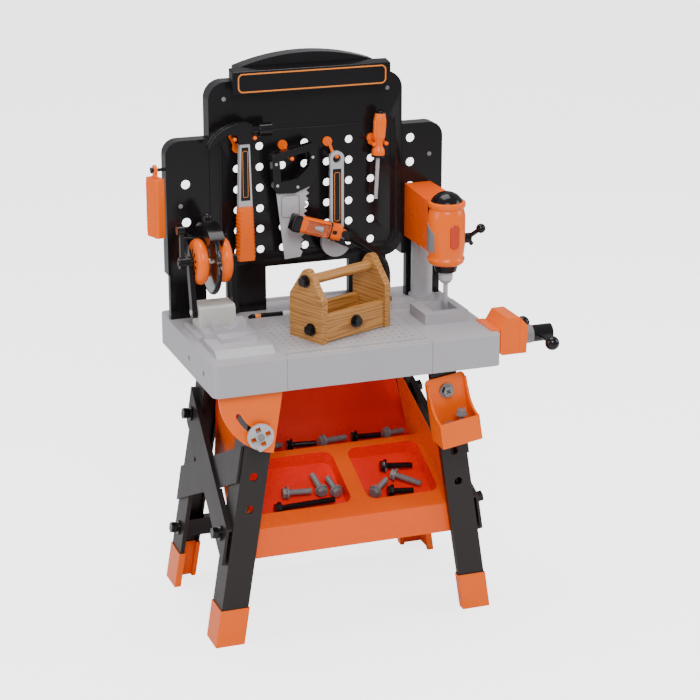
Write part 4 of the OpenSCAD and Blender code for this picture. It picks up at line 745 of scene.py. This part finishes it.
# ---- stage ----
floor = bpy.data.meshes.new("floorMesh")
bm = bmesh.new()
bmesh.ops.create_grid(bm, x_segments=2, y_segments=2, size=40)
bm.to_mesh(floor)
bm.free()
floorObj = bpy.data.objects.new("floor", floor)
bpy.context.scene.collection.objects.link(floorObj)
floorMat, tree, bsdf, coords = shader("paleFloor")
tree.links.new(mixColor(tree, noiseNode(tree, coords, 3.0, 4.0), (0.86, 0.86, 0.865), (0.88, 0.88, 0.885)),
    bsdf.inputs["Base Color"])
bsdf.inputs["Roughness"].default_value = 0.9
bsdf.inputs["Emission Color"].default_value = (0.97, 0.97, 0.98, 1)
seen = tree.nodes.new("ShaderNodeLightPath").outputs["Is Camera Ray"]
tree.links.new(mathNode(tree, "MULTIPLY", seen, 2.7), bsdf.inputs["Emission Strength"])
floor.materials.append(floorMat)

world = bpy.data.worlds.new("studio")
bpy.context.scene.world = world
world.use_nodes = True
world.node_tree.nodes["Background"].inputs["Color"].default_value = (0.95, 0.96, 1.0, 1)
world.node_tree.nodes["Background"].inputs["Strength"].default_value = 0.42


def softbox(name, place, target, size, power, color=(1, 1, 1)):
    data = bpy.data.lights.new(name, "AREA")
    data.shape = "RECTANGLE"
    data.size, data.size_y = size
    data.energy = power
    data.color = color
    obj = bpy.data.objects.new(name, data)
    bpy.context.scene.collection.objects.link(obj)
    obj.location = place
    obj.rotation_mode = "QUATERNION"
    obj.rotation_quaternion = (Vector(place) - Vector(target)).to_track_quat("Z", "Y")
    return obj


softbox("keyLight", (-0.6, -2.6, 2.6), (0, 0, 0.5), (1.3, 1.3), 74, (1.0, 0.98, 0.96))
softbox("sideLight", (2.6, -0.8, 1.6), (0, 0, 0.5), (1.2, 1.6), 30)
softbox("leftLight", (-2.6, -0.2, 1.4), (0, 0, 0.5), (1.0, 1.6), 27)
softbox("topLight", (0, 0.4, 3.0), (0, 0, 0.5), (1.6, 1.6), 48)

camera = bpy.data.cameras.new("camera")
camera.lens = 109.07
camera.sensor_width = 36
camera.clip_end = 100
cameraObj = bpy.data.objects.new("camera", camera)
bpy.context.scene.collection.objects.link(cameraObj)
right, up, back = Vector((0.93997, -0.34126, 0)), Vector((0.10682, 0.29422, 0.94975)), Vector((-0.32412,
    -0.89273, 0.31301))
cameraObj.matrix_world = Matrix.Translation(at(-1170.2, -3168.5, 1634.4)) @ Matrix((right, up,
    back)).transposed().to_4x4()
bpy.context.scene.camera = cameraObj
print("stage, light and camera set")
